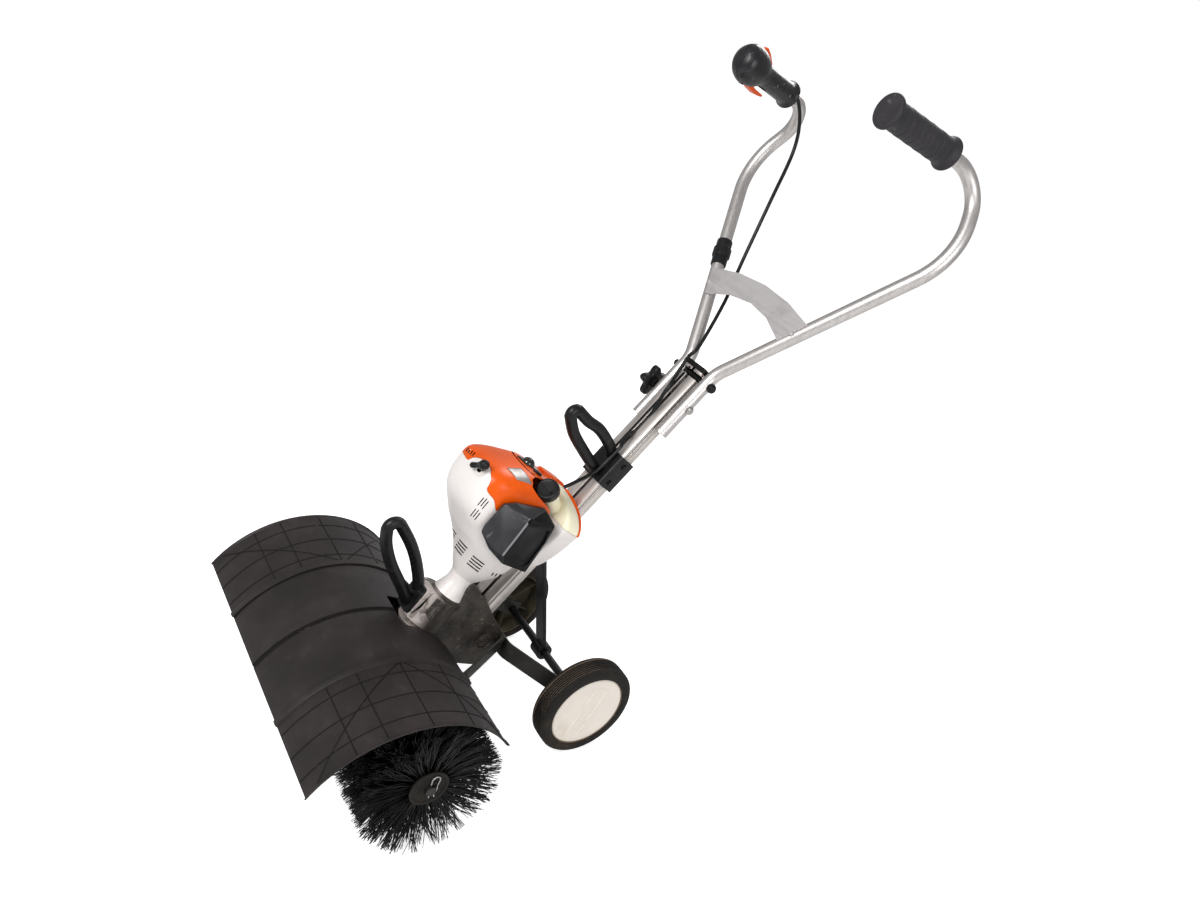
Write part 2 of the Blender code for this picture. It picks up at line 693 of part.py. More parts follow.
def front_loop_handle():
    """A loop of tube in the machine's middle plane, on a foot against the case's head."""
    foot = FOOT_Y - GAP
    low_leg = place_of(CASE) @ Vector((0, foot - 0.003, 0.1495))
    high_leg = place_of(CASE) @ Vector((0, foot - 0.003, 0.1800))
    bend = arc((-0.003, 0.4265), 0.0125, 184, 27, 6)
    path = [low_leg.yz, (0.031, 0.305), (-0.010, 0.390), *bend, (0.045, 0.365), (0.060, 0.320),
            high_leg.yz]
    loop = tube("front_loop_handle", [(0, *p) for p in path], LOOP_R, MACHINE, 2)
    low, high = (-0.020, foot - 0.006, 0.1355), (0.020, foot, 0.1905)
    join(loop, box("loop_foot", low, high, CASE))
    return paint(cut(loop, box("head_side", (-0.03, foot, 0.12), (0.03, 0, 0.21), CASE)), *BLACK)


GRAB_R = 0.0085
CLAMP_Z = (0.519, 0.583)


def rear_loop_handle():
    """A loop of tube in the machine's middle plane, on a clamp round the rail."""
    starts = of_rail(0.0790, 0.5312), of_rail(0.0790, 0.5735)
    bend = arc((0.2905, 0.6310), 0.0095, 200, 53, 6)
    path = [starts[0].yz, (0.3553, 0.5307), (0.2983, 0.5947), *bend, (0.3519, 0.6002),
            (0.3829, 0.5680), starts[1].yz]
    loop = tube("rear_loop_handle", [(0, *p) for p in path], GRAB_R, MACHINE, 2)
    low = (-0.031, RAIL_FRONT - 0.007, CLAMP_Z[0])
    high = (0.031, RAIL_REAR + 0.0055, CLAMP_Z[1])
    join(loop, box("rail_clamp", low, high, RAIL))
    low = (-RAIL_HALF - GAP, RAIL_FRONT - GAP, CLAMP_Z[0] - 0.01)
    high = (RAIL_HALF + GAP, RAIL_REAR + GAP, CLAMP_Z[1] + 0.01)
    return paint(cut(loop, box("clamp_hollow", low, high, RAIL)), *BLACK)


# Folding handle, in a frame on its pivot

TUBE_LOW = of_rail(RAIL_MID, PIVOT_ALONG - 0.065, TUBE_X)
TUBE_BEND = of_rail(RAIL_MID, PIVOT_ALONG + 0.0787, TUBE_X)
TUBE_WIDE = PIVOT_AT + Vector((0.2675, 0.24529, 0.38504))
TUBE_HIGH = PIVOT_AT + Vector((0.2061, 0.30709, 0.50634))
TUBE_TIP = PIVOT_AT + Vector((0.1717, 0.07149, 0.56834))
GRIP_DIR = (TUBE_HIGH - TUBE_TIP).normalized()


def on_handle(point, side=1):
    return Vector((side * point[0], point[1], point[2])) - PIVOT_AT


def handle_tube(name, side):
    corners = [TUBE_LOW, TUBE_BEND, TUBE_WIDE, TUBE_HIGH, TUBE_TIP]
    path = fillet([on_handle(p, side) for p in corners], [0.0564, 0.1258, 0.0607], 3)
    outer = tube(name, path, TUBE_R, PIVOT, 2)
    before = path[0] + (path[0] - path[1]).normalized() * 0.004
    after = path[-1] + (path[-1] - path[-2]).normalized() * 0.004
    longer = [before, *path[1:-1], after]
    cut(outer, tube(name + "_inside", longer, TUBE_R - TUBE_WALL, PIVOT, 2))
    # the bolt holes run along X, through the straight foot of the tube
    for above in (0, STOP_ABOVE):
        at = of_rail(RAIL_MID, PIVOT_ALONG + above) - PIVOT_AT
        ends = at + Vector((side * 0.02, 0, 0)), at + Vector((side * 0.06, 0, 0))
        cut(outer, rod(name + "_hole", BOLT_R + 1.5 * GAP, *ends, PIVOT, 10))
    return paint(outer, *ALUMINIUM)


def grip_frame(name, side):
    """Z runs from the grip's tip along the tube, X is level, and Y is as near down as it can be."""
    along = Vector((side * GRIP_DIR.x, GRIP_DIR.y, GRIP_DIR.z))
    down = (Vector((0, 0, -1)) + along * along.z).normalized()
    level = down.cross(along)
    turn = Matrix((level, down, along)).transposed().to_euler()
    return frame(name, PIVOT, on_handle(TUBE_TIP, side), turn)


GRIP_LEFT = grip_frame("grip_frame_left", 1)
GRIP_RIGHT = grip_frame("grip_frame_right", -1)


def handle_grip():
    bore = TUBE_R + GAP
    round_r, rim = TUBE_R + 0.011, TUBE_R + 0.0155
    profile = [(0, -0.004), (rim - 0.002, -0.004), (rim, -0.002), (rim, 0.004), (round_r, 0.008),
               (round_r, GRIP_LONG - 0.007), (rim, GRIP_LONG - 0.003), (rim, GRIP_LONG),
               (bore, GRIP_LONG), (bore, -GAP), (0, -GAP)]
    return paint(turned("handle_grip", profile, GRIP_LEFT, steps=16), *BLACK)


TRIGGER_AT = (TUBE_R + 0.0095, 0.023)
TRIGGER_HALF = 0.006
LOCK_AT = (-TUBE_R - 0.006, 0.062)
LOCK_HALF = 0.005


def throttle_housing():
    bore = TUBE_R + GAP
    long = GRIP_LONG + 0.002
    rows = [(0.0075, -0.013), (0.0175, -0.006), (0.0225, 0.008), (0.0225, 0.028),
            (0.0175, 0.046), (0.0085, 0.056), (0.0085, long - 0.007), (0.0135, long - 0.003),
            (0.0135, long)]
    profile = [(0, -0.013), *[(TUBE_R + out, z) for out, z in rows], (bore, long),
               (bore, -GAP), (0, -GAP)]
    body = turned("throttle_housing", profile, GRIP_RIGHT, steps=16)
    half = TRIGGER_HALF + GAP
    low, high = (-half, TUBE_R + 0.0015, 0.014), (half, TUBE_R + 0.0325, 0.082)
    cut(body, box("trigger_slot", low, high, GRIP_RIGHT))
    half = LOCK_HALF + GAP
    low, high = (-half, -TUBE_R - 0.0375, 0.022), (half, -TUBE_R - 0.0015, 0.069)
    cut(body, box("lock_slot", low, high, GRIP_RIGHT))
    return paint(body, *BLACK)


def throttle_trigger():
    axis = frame("trigger_axis", GRIP_RIGHT, (0, *TRIGGER_AT))
    outline = [(-0.0055, -0.005), (0.0050, -0.005), (0.0120, 0.012), (0.0140, 0.032),
               (0.0115, 0.055), (0.0075, 0.055), (0.0065, 0.032), (0.0020, 0.009),
               (-0.0045, 0.005)]
    return paint(plate("throttle_trigger", outline, 2 * TRIGGER_HALF, SIDE, axis), *ORANGE)


def trigger_lock():
    axis = frame("lock_axis", GRIP_RIGHT, (0, *LOCK_AT))
    outline = [(0.0030, 0.003), (-0.0040, 0.004), (-0.0155, -0.012), (-0.0215, -0.026),
               (-0.0175, -0.028), (-0.0075, -0.016), (0.0030, -0.004)]
    return paint(plate("trigger_lock", outline, 2 * LOCK_HALF, SIDE, axis), *ORANGE)


BRACE = [(0.000, 0.182), (0.0675, 0.1765), (0.135, 0.160), (0.105, 0.110), (0.0525, 0.1325),
         (0.000, 0.140)]


def cross_brace():
    """A thin plate riveted to the front of both tubes, where they run apart."""
    rise = TUBE_WIDE - TUBE_BEND
    turn = -math.atan2(rise.y, rise.z)
    at = on_handle((0, TUBE_BEND.y, TUBE_BEND.z))
    plane = frame("brace_frame", PIVOT, at, (turn, 0, 0))
    outline = BRACE + [(-x, z) for x, z in BRACE[:0:-1] if x]
    place = Matrix.Translation((0, -TUBE_R - GAP - 0.001, 0)) @ FRONT
    brace = plate("cross_brace", outline, 0.002, place, plane)
    for side in (-1, 1):
        x, z = side * 0.119, 0.1335
        ends = (x, -TUBE_R - 0.001, z), (x, -TUBE_R - 0.0045, z)
        join(brace, rod("rivet", 0.005, *ends, plane, 8, 0.0035))
    return paint(brace, *ALUMINIUM)


KNOB_X = TUBE_X + TUBE_R + GAP


def star_knob():
    """The knob on the far end of the clamp bolt: five lobes on a round boss."""
    outline = []
    for k in range(20):
        a = math.tau * k / 20
        r = 0.0205 + 0.0045 * math.cos(5 * a)
        outline.append((r * math.cos(a), r * math.sin(a)))
    place = Matrix.Translation((-KNOB_X - 0.0165, 0, 0)) @ SIDE
    knob = plate("star_knob", outline, 0.015, place, PIVOT)
    ends = (-KNOB_X, 0, 0), (-KNOB_X - 0.012, 0, 0)
    join(knob, rod("knob_boss", 0.010, *ends, PIVOT, 16))
    ends = (-KNOB_X + 0.002, 0, 0), (-KNOB_X - 0.016, 0, 0)
    return paint(cut(knob, rod("knob_bore", BOLT_R + GAP, *ends, PIVOT, 12)), *BLACK)


def bolt(name, head, far, head_r, head_long, up):
    """A bolt through both tubes and the rail: its head on the operator's left."""
    profile = [(0, head_long), (head_r * 0.7, head_long), (head_r, head_long * 0.6), (head_r, 0),
               (BOLT_R, 0), (BOLT_R, -head - far), (0, -head - far)]
    at = of_rail(RAIL_MID, PIVOT_ALONG + up) - PIVOT_AT + Vector((head, 0, 0))
    return turned(name, profile, PIVOT, (0, math.pi / 2, 0), at, 12)


def clamp_bolt():
    return paint(bolt("clamp_bolt", KNOB_X, KNOB_X + 0.0145, 0.008, 0.0055, 0), *STEEL)


def stop_bolt():
    piece = bolt("stop_bolt", KNOB_X, KNOB_X + 0.005, 0.009, 0.0095, STOP_ABOVE)
    at = of_rail(RAIL_MID, PIVOT_ALONG + STOP_ABOVE) - PIVOT_AT
    ends = at - Vector((KNOB_X, 0, 0)), at - Vector((KNOB_X + 0.0055, 0, 0))
    return paint(join(piece, rod("stop_nut", 0.0068, *ends, PIVOT, 6)), *BLACK)


# Throttle cable: whole along its route, in three lengths about the fold

CABLE_SLOT_Y = RAIL_FRONT + CABLE_R + 0.0002
CABLE_LOW = [(0, CABLE_SLOT_Y, 0.665), (0, CABLE_SLOT_Y, 0.640), (0, 0.0800, 0.622),
             (0.002, 0.0765, 0.610), (0.008, 0.0735, 0.600), (0.0130, 0.0718, 0.590),
             (0.0135, 0.0705, 0.560), (0.0145, 0.0665, 0.535), (0.0160, 0.0570, 0.515),
             (0.0180, 0.0460, 0.500), (0.0200, 0.0360, 0.486), (0.0200, 0.0280, 0.4735)]
CABLE_BEND = [(0, CABLE_SLOT_Y, 0.6656), (0, 0.0865, 0.672), (0, 0.0830, 0.684),
              (0, 0.0775, 0.700), (0, 0.0715, 0.720), (-0.001, 0.0694, 0.7354),
              (-0.0075, 0.0720, 0.7544)]
CABLE_HIGH = [(-0.035, 0.5510, 0.7520), (-0.070, 0.6090, 0.8235), (-0.100, 0.6450, 0.8700),
              (-0.115, 0.6650, 0.9050), (-0.140, 0.7070, 1.0090), (-0.168, 0.7480, 1.0840),
              (-0.177, 0.7555, 1.1280), (-0.1775, 0.7430, 1.1640)]


# The cable leaves the throttle on the side towards the machine's middle
CABLE_SIDE = 1.0 if GRIP_RIGHT.rotation_euler.to_matrix().col[0].x > 0 else -1.0


def throttle_cable(name, points, parent):
    return paint(tube(name, points, CABLE_R, parent, 2), *BLACK)


def throttle_cables():
    """The lowest length lies in the rail's slot, and the highest one rides on the handle."""
    throttle_cable("throttle_cable_lower", CABLE_LOW, RAIL)
    throttle_cable("throttle_cable_bend", CABLE_BEND, RAIL)
    start = [of_rail(y, z, x) - PIVOT_AT for x, y, z in
             ((-0.0078, 0.0721, 0.7550), (-0.0140, 0.0728, 0.7760), (-0.0205, 0.0750, 0.8000))]
    turn = GRIP_RIGHT.rotation_euler.to_matrix()
    exits = [GRIP_RIGHT.location + turn @ Vector((CABLE_SIDE * 0.0190, 0.002, GRIP_LONG + more))
             for more in (0.011, 0.002 + GAP)]
    points = start + [on_handle(p) for p in CABLE_HIGH] + exits
    throttle_cable("throttle_cable_upper", points, PIVOT)


# Engine, in a frame whose Z is the crankshaft and whose floor is the end of the neck

SKIN = 0.0025
LID_Z = 0.2222
CRANK_Z = 0.170
ROPE_AT = (-0.005, 0.209)
HORN_AT = (-0.016, 0.168)
HOUSING = [(0.000, -0.0285, 0.0285, -0.0285, 0.0285, 2),
           (0.027, -0.0215, 0.0215, -0.0215, 0.0215, 2),
           (0.042, -0.0240, 0.0240, -0.0240, 0.0240, 2),
           (0.055, -0.0340, 0.0340, -0.0340, 0.0335, 2),
           (0.080, -0.051, 0.050, -0.052, 0.049, 2.1),
           (0.105, -0.069, 0.062, -0.074, 0.053, 2.3),
           (0.118, -0.078, 0.064, -0.088, 0.052, 2.6),
           (0.133, -0.084, 0.065, -0.101, 0.030, 3), (0.156, -0.085, 0.065, -0.122, 0.030, 3.6),
           (0.180, -0.085, 0.065, -0.135, 0.030, 4),
           (LID_Z, -0.085, 0.065, -0.139, 0.030, 4)]
LID = [(LID_Z + GAP, -0.085, 0.065, -0.139, 0.030, 4), (0.235, -0.083, 0.063, -0.134, 0.030, 4),
       (0.248, -0.078, 0.058, -0.113, 0.028, 3.6), (0.260, -0.068, 0.052, -0.082, 0.024, 3),
       (0.270, -0.055, 0.045, -0.055, 0.018, 2.6)]


PRIMER_AT = (0.0, -0.030)
PRIMER_R = 0.012
CHOKE_AT = (0.024, -0.040)


def shrunk(stations, wall):
    return [(z, x0 + wall, x1 - wall, y0 + wall, y1 - wall, p) for z, x0, x1, y0, y1, p in stations]


def fan_housing():
    """The white housing: a neck, a bell over the clutch and a box round the engine."""
    body = loft("fan_housing", [section(*s) for s in HOUSING], ENGINE)
    inner = [(0.046, -0.0140, 0.0140, -0.0140, 0.0140, 2)] + shrunk(HOUSING[3:], SKIN)
    top = inner[-1]
    inner[-1] = (LID_Z + 0.002, *top[1:])
    cut(body, loft("housing_inside", [section(*s) for s in inner], ENGINE))
    cut(body, rod("neck_bore", 0.0120, (0, 0, -0.002), (0, 0, 0.048), ENGINE, 16))
    x, z = ROPE_AT
    cut(body, rod("rope_eye", 0.004, (x, -0.15, z), (x, -0.12, z), ENGINE, 12))
    y, z = HORN_AT
    cut(body, rod("horn_hole", 0.0115, (0.055, y, z), (0.075, y, z), ENGINE, 16))
    ends = (-0.095, -0.075, 0.170), (-0.075, -0.075, 0.170)
    cut(body, rod("exhaust_hole", 0.0085, *ends, ENGINE, 12))
    for row in range(2):
        z = 0.160 + 0.016 * row
        low, high = (-0.055, -0.150, z), (-0.020, -0.095, z + 0.005)
        cut(body, box("vent", low, high, ENGINE))
    return paint(body, *WHITE)


CAP_AT = Vector((0.050, -0.026, 0.262))
NECK_FROM = Vector((0.030, 0.041, 0.236))
CAP_DIR = (CAP_AT - NECK_FROM).normalized()


def top_cover():
    """The orange lid, cut away round the fuel filler and open under the primer bulb."""
    lid = loft("top_cover", [section(*s) for s in LID], ENGINE)
    inner = shrunk(LID, SKIN)
    inner[0] = (LID_Z - 0.002, *inner[0][1:])
    inner[-1] = (LID[-1][0] - SKIN, *inner[-1][1:])
    cut(lid, loft("lid_inside", [section(*s) for s in inner], ENGINE))
    ends = NECK_FROM - CAP_DIR * 0.01, CAP_AT + CAP_DIR * 0.03
    cut(lid, rod("cap_recess", 0.0205, *ends, ENGINE, 16))
    ends = (*PRIMER_AT, LID[-1][0] - 0.01), (*PRIMER_AT, LID[-1][0] + 0.01)
    cut(lid, rod("primer_hole", PRIMER_R + 2 * GAP, *ends, ENGINE, 16))
    return paint(lid, *ORANGE)


TANK = (-0.070, 0.088, 0.0303, 0.0760)


def fuel_tank():
    """A hollow tank behind the housing, with a filler neck up through the lid."""
    x0, x1, y0, y1 = TANK
    stations = [(0.136, x0 + 0.006, x1 - 0.006, y0, y1 - 0.005, 5), (0.142, x0, x1, y0, y1, 5),
                (0.256, x0, x1, y0, y1, 5), (0.262, x0 + 0.006, x1 - 0.006, y0, y1 - 0.005, 5)]
    tank = loft("fuel_tank", [section(*s, 16) for s in stations], ENGINE)
    join(tank, rod("filler_neck", 0.014, NECK_FROM, CAP_AT, ENGINE, 16))
    inner = shrunk(stations, 0.0025)
    inner[0] = (0.1385, *inner[0][1:])
    inner[-1] = (0.2595, *inner[-1][1:])
    cut(tank, loft("tank_inside", [section(*s, 16) for s in inner], ENGINE))
    ends = NECK_FROM + CAP_DIR * 0.003, CAP_AT + CAP_DIR * 0.01
    cut(tank, rod("filler_bore", 0.011, *ends, ENGINE, 16))
    return paint(tank, *CREAM)


def fuel_cap():
    turn = CAP_DIR.to_track_quat("Z", "Y").to_euler()
    axis = frame("cap_frame", ENGINE, CAP_AT, turn)
    profile = [(0, 0.006), (0.017, 0.006), (0.019, 0.004), (0.019, -0.009), (0.0144, -0.009),
               (0.0144, GAP), (0, GAP)]
    cap = turned("fuel_cap", profile, axis, steps=16)
    low, high = (-0.014, -0.002, 0.005), (0.014, 0.002, 0.0095)
    return paint(join(cap, box("cap_bar", low, high, axis)), *BLACK)


def crankcase():
    low, high = CRANK_Z - 0.022, CRANK_Z + 0.022
    case = box("crankcase", (-0.026, -0.034, low), (0.034, -0.002, high), ENGINE)
    join(case, rod("crank_shell", 0.0262, (0, 0, low), (0, 0, high), ENGINE, 16))
    cut(case, rod("crank_room", 0.0225, (0, 0, low + 0.005), (0, 0, high - 0.005), ENGINE, 16))
    cut(case, rod("crank_bore", 0.0066, (0, 0, low - 0.01), (0, 0, high + 0.01), ENGINE, 12))
    ends = (0, -0.010, CRANK_Z), (0, -0.040, CRANK_Z)
    cut(case, rod("rod_window", 0.014, *ends, ENGINE, 12))
    return paint(case, *ALUMINIUM)


CYL_FROM = 0.034 + GAP


def cylinder():
    """A finned barrel towards the front, its bore open at the crankcase."""
    foot, head = CYL_FROM, 0.104
    profile = [(0, head), (0.020, head)]
    for k in range(4):
        out = head - 0.006 - 0.0145 * k
        profile += [(0.018, out), (0.0240, out - 0.0005), (0.0240, out - 0.0035), (0.018, out - 0.004)]
    profile += [(0.018, foot), (0.0143, foot), (0.0143, head - 0.008), (0, head - 0.008)]
    turn = (math.pi / 2, 0, 0)
    barrel = turned("cylinder", profile, ENGINE, turn, (0, 0, CRANK_Z), 12)
    ends = (0, -head + 0.002, CRANK_Z), (0, -head - 0.01, CRANK_Z)
    cut(barrel, rod("plug_seat", 0.0048, *ends, ENGINE, 12))
    return paint(barrel, *ALUMINIUM)


THROW = 0.0115
PIN_R = 0.0045


def piston():
    profile = [(0, 0.0905), (0.0137, 0.0905), (0.0137, 0.0640), (0.0115, 0.0640),
               (0.0115, 0.0860), (0, 0.0860)]
    turn = (math.pi / 2, 0, 0)
    return paint(turned("piston", profile, ENGINE, turn, (0, 0, CRANK_Z), 16), *ALUMINIUM)


def connecting_rod():
    """Its big end is left open: a pad that follows the circle round which the pin goes."""
    start = (0, -THROW - PIN_R + 0.002, CRANK_Z)
    piece = rod("connecting_rod", 0.0038, start, (0, -0.0857, CRANK_Z), ENGINE, 10)
    reach = THROW + PIN_R + GAP
    low, high = (-0.006, -0.026, CRANK_Z - 0.0038), (0.006, -0.012, CRANK_Z + 0.0038)
    join(piece, box("rod_pad", low, high, ENGINE))
    ends = (0, 0, CRANK_Z - 0.02), (0, 0, CRANK_Z + 0.02)
    return paint(cut(piece, rod("pin_sweep", reach, *ends, ENGINE, 32)), *STEEL)


def crankshaft():
    low, high = (0, 0, 0.084), (0, 0, CRANK_Z - 0.0045)
    shaft = rod("crankshaft", 0.006, low, high, ENGINE, 12)
    join(shaft, rod("crank_tail", 0.006, (0, 0, CRANK_Z + 0.0045), (0, 0, 0.219), ENGINE, 12))
    for side in (-1, 1):
        ends = (0, 0, CRANK_Z + side * 0.0045), (0, 0, CRANK_Z + side * 0.0105)
        join(shaft, rod("crank_cheek", 0.0205, *ends, ENGINE, 16))
    ends = (0, -THROW, CRANK_Z - 0.006), (0, -THROW, CRANK_Z + 0.006)
    return paint(join(shaft, rod("crank_pin", PIN_R, *ends, ENGINE, 10)), *STEEL)


def flywheel():
    """The flywheel with its fan blades, on the crankshaft beside the clutch."""
    profile = [(0.0063, 0.104), (0.012, 0.104), (0.012, 0.0985), (0.042, 0.0985),
               (0.042, 0.093), (0.0063, 0.093)]
    fan = turned("flywheel", profile, ENGINE, steps=16, ring=True)
    for k in range(5):
        a = math.tau * k / 5
        out, across = Vector((math.cos(a), math.sin(a), 0)), Vector((-math.sin(a), math.cos(a), 0))
        rings = [[out * r + across * w + Vector((0, 0, z)) for r, w in
                  ((0.018, -0.0008), (0.041, -0.0008), (0.041, 0.0008), (0.018, 0.0008))]
                 for z in (0.098, 0.110)]
        join(fan, loft("blade", rings, ENGINE))
    return paint(fan, *ALUMINIUM)


def spark_plug():
    profile = [(0, 0.0200), (0.0030, 0.0200), (0.0030, 0.0140), (0.0048, 0.0130),
               (0.0048, 0.0070), (0.0080, 0.0060), (0.0080, 0.0005), (0.0043, 0.0002),
               (0.0043, -0.0015), (0, -0.0015)]
    turn = (math.pi / 2, 0, 0)
    at = (0, -0.104 - GAP, CRANK_Z)
    return paint(turned("spark_plug", profile, ENGINE, turn, at, 12), *WHITE)


def muffler():
    body = box("muffler", (-0.0745, -0.092, 0.155), (-0.038, -0.052, 0.192), ENGINE)
    ends = (-0.0243 - GAP, -0.075, CRANK_Z), (-0.040, -0.075, CRANK_Z)
    join(body, rod("port", 0.008, *ends, ENGINE, 12))
    ends = (-0.073, -0.075, CRANK_Z), (-0.0865, -0.075, CRANK_Z)
    join(body, rod("outlet", 0.0075, *ends, ENGINE, 12))
    cut(body, box("muffler_inside", (-0.0725, -0.090, 0.157), (-0.040, -0.054, 0.190), ENGINE))
    ends = (-0.070, -0.075, CRANK_Z), (-0.090, -0.075, CRANK_Z)
    return paint(cut(body, rod("outlet_bore", 0.0055, *ends, ENGINE, 12)), *STEEL)


def carburettor():
    low, high = (0.034 + GAP, -0.030, 0.152), (0.058, -0.002, 0.186)
    body = box("carburettor", low, high, ENGINE)
    y, z = HORN_AT
    join(body, rod("horn", 0.0105, (0.050, y, z), (0.071, y, z), ENGINE, 16))
    return paint(cut(body, rod("throat", 0.0065, (0.040, y, z), (0.080, y, z), ENGINE, 12)),
                 *ALUMINIUM)


FILTER = [(-0.109, 0.210), (-0.032, 0.2415), (0.0076, 0.2234), (0.0273, 0.1574),
          (0.0290, 0.1210), (-0.0232, 0.1200), (-0.1004, 0.1550)]


def inset(outline, amount):
    """The outline drawn in towards its middle by about the amount."""
    middle = sum((Vector(p) for p in outline), Vector((0, 0))) / len(outline)
    return [p + (middle - p).normalized() * amount for p in (Vector(p) for p in outline)]


def filter_cover():
    """The faceted shell over the air filter, open towards the housing."""
    near = 0.065 + GAP
    shape = ((near, 0), (0.096, 0), (0.105, 0.012))
    rings = [[(x, *p) for p in inset(FILTER, amount)] for x, amount in shape]
    shell = loft("filter_cover", rings, ENGINE)
    shape = ((near - 0.002, 0.0035), (0.0945, 0.0035), (0.1025, 0.0150))
    rings = [[(x, *p) for p in inset(FILTER, amount)] for x, amount in shape]
    cut(shell, loft("filter_room", rings, ENGINE))
    return paint(shell, *CHARCOAL)


def primer_bulb():
    top = LID[-1][0]
    profile = [(0, 0.0140), (0.0055, 0.0130), (0.0095, 0.0100), (0.0115, 0.0050),
               (PRIMER_R, 0), (PRIMER_R, -0.0020), (0, -0.0020)]
    return paint(turned("primer_bulb", profile, ENGINE, at=(*PRIMER_AT, top), steps=16), *BLACK)


def choke_lever():
    axis = frame("choke_axis", ENGINE, (*CHOKE_AT, LID[-1][0]))
    lever = rod("choke_lever", 0.005, (0, 0, GAP), (0, 0, 0.005), axis, 12)
    return paint(join(lever, box("choke_arm", (-0.002, -0.016, 0.001), (0.002, 0, 0.004), axis)),
                 *BLACK)


PULLEY_R = 0.026


def starter_pulley():
    z = ROPE_AT[1]
    rim, spool = PULLEY_R, PULLEY_R - 0.004
    profile = [(0.0063, z + 0.005), (rim, z + 0.005), (rim, z + 0.0038), (spool, z + 0.002),
               (spool, z - 0.002), (rim, z - 0.0038), (rim, z - 0.005), (0.0063, z - 0.005)]
    return paint(turned("starter_pulley", profile, ENGINE, steps=16, ring=True), *BLACK)


def starter_grip():
    """The pull grip on the front of the housing, with the rope that runs in to the pulley."""
    x, z = ROPE_AT
    grip = tube("starter_grip", [(x - 0.016, -0.151, z), (x - 0.006, -0.153, z),
                                 (x + 0.006, -0.153, z), (x + 0.016, -0.151, z)], 0.0065, ENGINE)
    join(grip, rod("grip_stem", 0.0055, (x, -0.148, z), (x, -0.1379 - GAP, z), ENGINE, 10))
    join(grip, rod("rope", 0.0018, (x, -0.142, z), (x, -PULLEY_R - 0.001, z), ENGINE, 6))
    return paint(grip, *BLACK)


def build():
    gear_case()
    gear_cover()
    filler_plug()
    worm_shaft()
    worm_wheel()
    clutch_drum()
    output_shaft()
    cover_holder()
    rail()
    rail_end_cap()
    wheel_arms()
    axle_strut()
    wheel_axle()
    front_loop_handle()
    rear_loop_handle()
    for name, side in (("left", 1), ("right", -1)):
        bearing("bearing_" + name, side)
        bristles("bristles_" + name, side)
        spring_clip("spring_clip_" + name, side)
        cover_centre("cover_centre_" + name, side)
        cover_end("cover_end_" + name, side)
        tyre("tyre_" + name, side)
        wheel("wheel_" + name, side)
        handle_tube("handle_tube_" + name, side)
    cross_brace()
    handle_grip()
    throttle_housing()
    throttle_trigger()
    trigger_lock()
    star_knob()
    clamp_bolt()
    stop_bolt()
    throttle_cables()
    fan_housing()
    top_cover()
    crankcase()
    cylinder()
    piston()
    connecting_rod()
    crankshaft()
    flywheel()
    spark_plug()
    muffler()
    carburettor()
    filter_cover()
    fuel_tank()
    fuel_cap()
    primer_bulb()
    choke_lever()
    starter_pulley()
    starter_grip()


build()

# The machine's box runs from the cover's front edge to the tube's bend behind the grips
bpy.context.view_layer.update()
depsgraph = bpy.context.evaluated_depsgraph_get()
reach = []
for piece in PARTS.objects:
    if piece.type == "MESH":
        solid = piece.evaluated_get(depsgraph)
        reach += [(piece.matrix_world @ v.co).y for v in solid.data.vertices]
MACHINE.location.y = -(min(reach) + max(reach)) / 2
print("moved along Y by", round(MACHINE.location.y, 6))
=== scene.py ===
# %% [markdown]
# # A walk-behind power brush
# The machine is a rotary brush under a curved cover, a small engine on a cast gear case, a rail,
# two wheels and a folding handle. The measured model is loaded first. It fixes every size and
# every joint, and the rest of this file is about how the machine looks.

# %% Load the measured model
import json
import math
import bmesh
import bpy
import numpy as np
from mathutils import Matrix, Vector
from mathutils.bvhtree import BVHTree


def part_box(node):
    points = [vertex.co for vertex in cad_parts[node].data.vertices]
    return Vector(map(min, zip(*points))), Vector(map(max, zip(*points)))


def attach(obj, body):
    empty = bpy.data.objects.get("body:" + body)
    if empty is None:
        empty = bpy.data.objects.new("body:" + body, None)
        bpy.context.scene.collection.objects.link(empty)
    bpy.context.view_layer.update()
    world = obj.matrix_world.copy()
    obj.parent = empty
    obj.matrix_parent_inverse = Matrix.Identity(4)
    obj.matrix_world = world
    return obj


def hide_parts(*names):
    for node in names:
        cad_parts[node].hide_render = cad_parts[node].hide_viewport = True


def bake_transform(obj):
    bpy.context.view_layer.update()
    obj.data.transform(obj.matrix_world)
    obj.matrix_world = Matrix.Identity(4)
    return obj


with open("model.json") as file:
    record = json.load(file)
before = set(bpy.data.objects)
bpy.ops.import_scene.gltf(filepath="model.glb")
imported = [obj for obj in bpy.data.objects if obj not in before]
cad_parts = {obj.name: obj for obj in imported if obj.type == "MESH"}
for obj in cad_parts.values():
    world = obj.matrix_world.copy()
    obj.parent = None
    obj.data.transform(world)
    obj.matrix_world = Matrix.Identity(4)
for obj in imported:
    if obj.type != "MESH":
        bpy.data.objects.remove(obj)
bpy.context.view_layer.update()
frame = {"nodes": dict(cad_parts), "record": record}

nodes = frame["nodes"]
GAP = 0.0003  # what the measured parts keep between them
WELD = 1e-6  # points closer than this are one
SIDES = (("left", 1), ("right", -1))


def mm(rows):
    """Rows of lengths that are written in millimetres, in metres."""
    return [tuple(length / 1000 for length in row) for row in rows]


def sections_mm(rows):
    """Sections in millimetres. The last number of each says how square it is, and stays."""
    return [(*mm([row[:-1]])[0], row[-1]) for row in rows]


# %% [markdown]
# ## The camera
# The picture looks down from the operator's front left, with the camera rolled a little. The
# three directions below are the camera's own right, up and back, so they make its matrix.

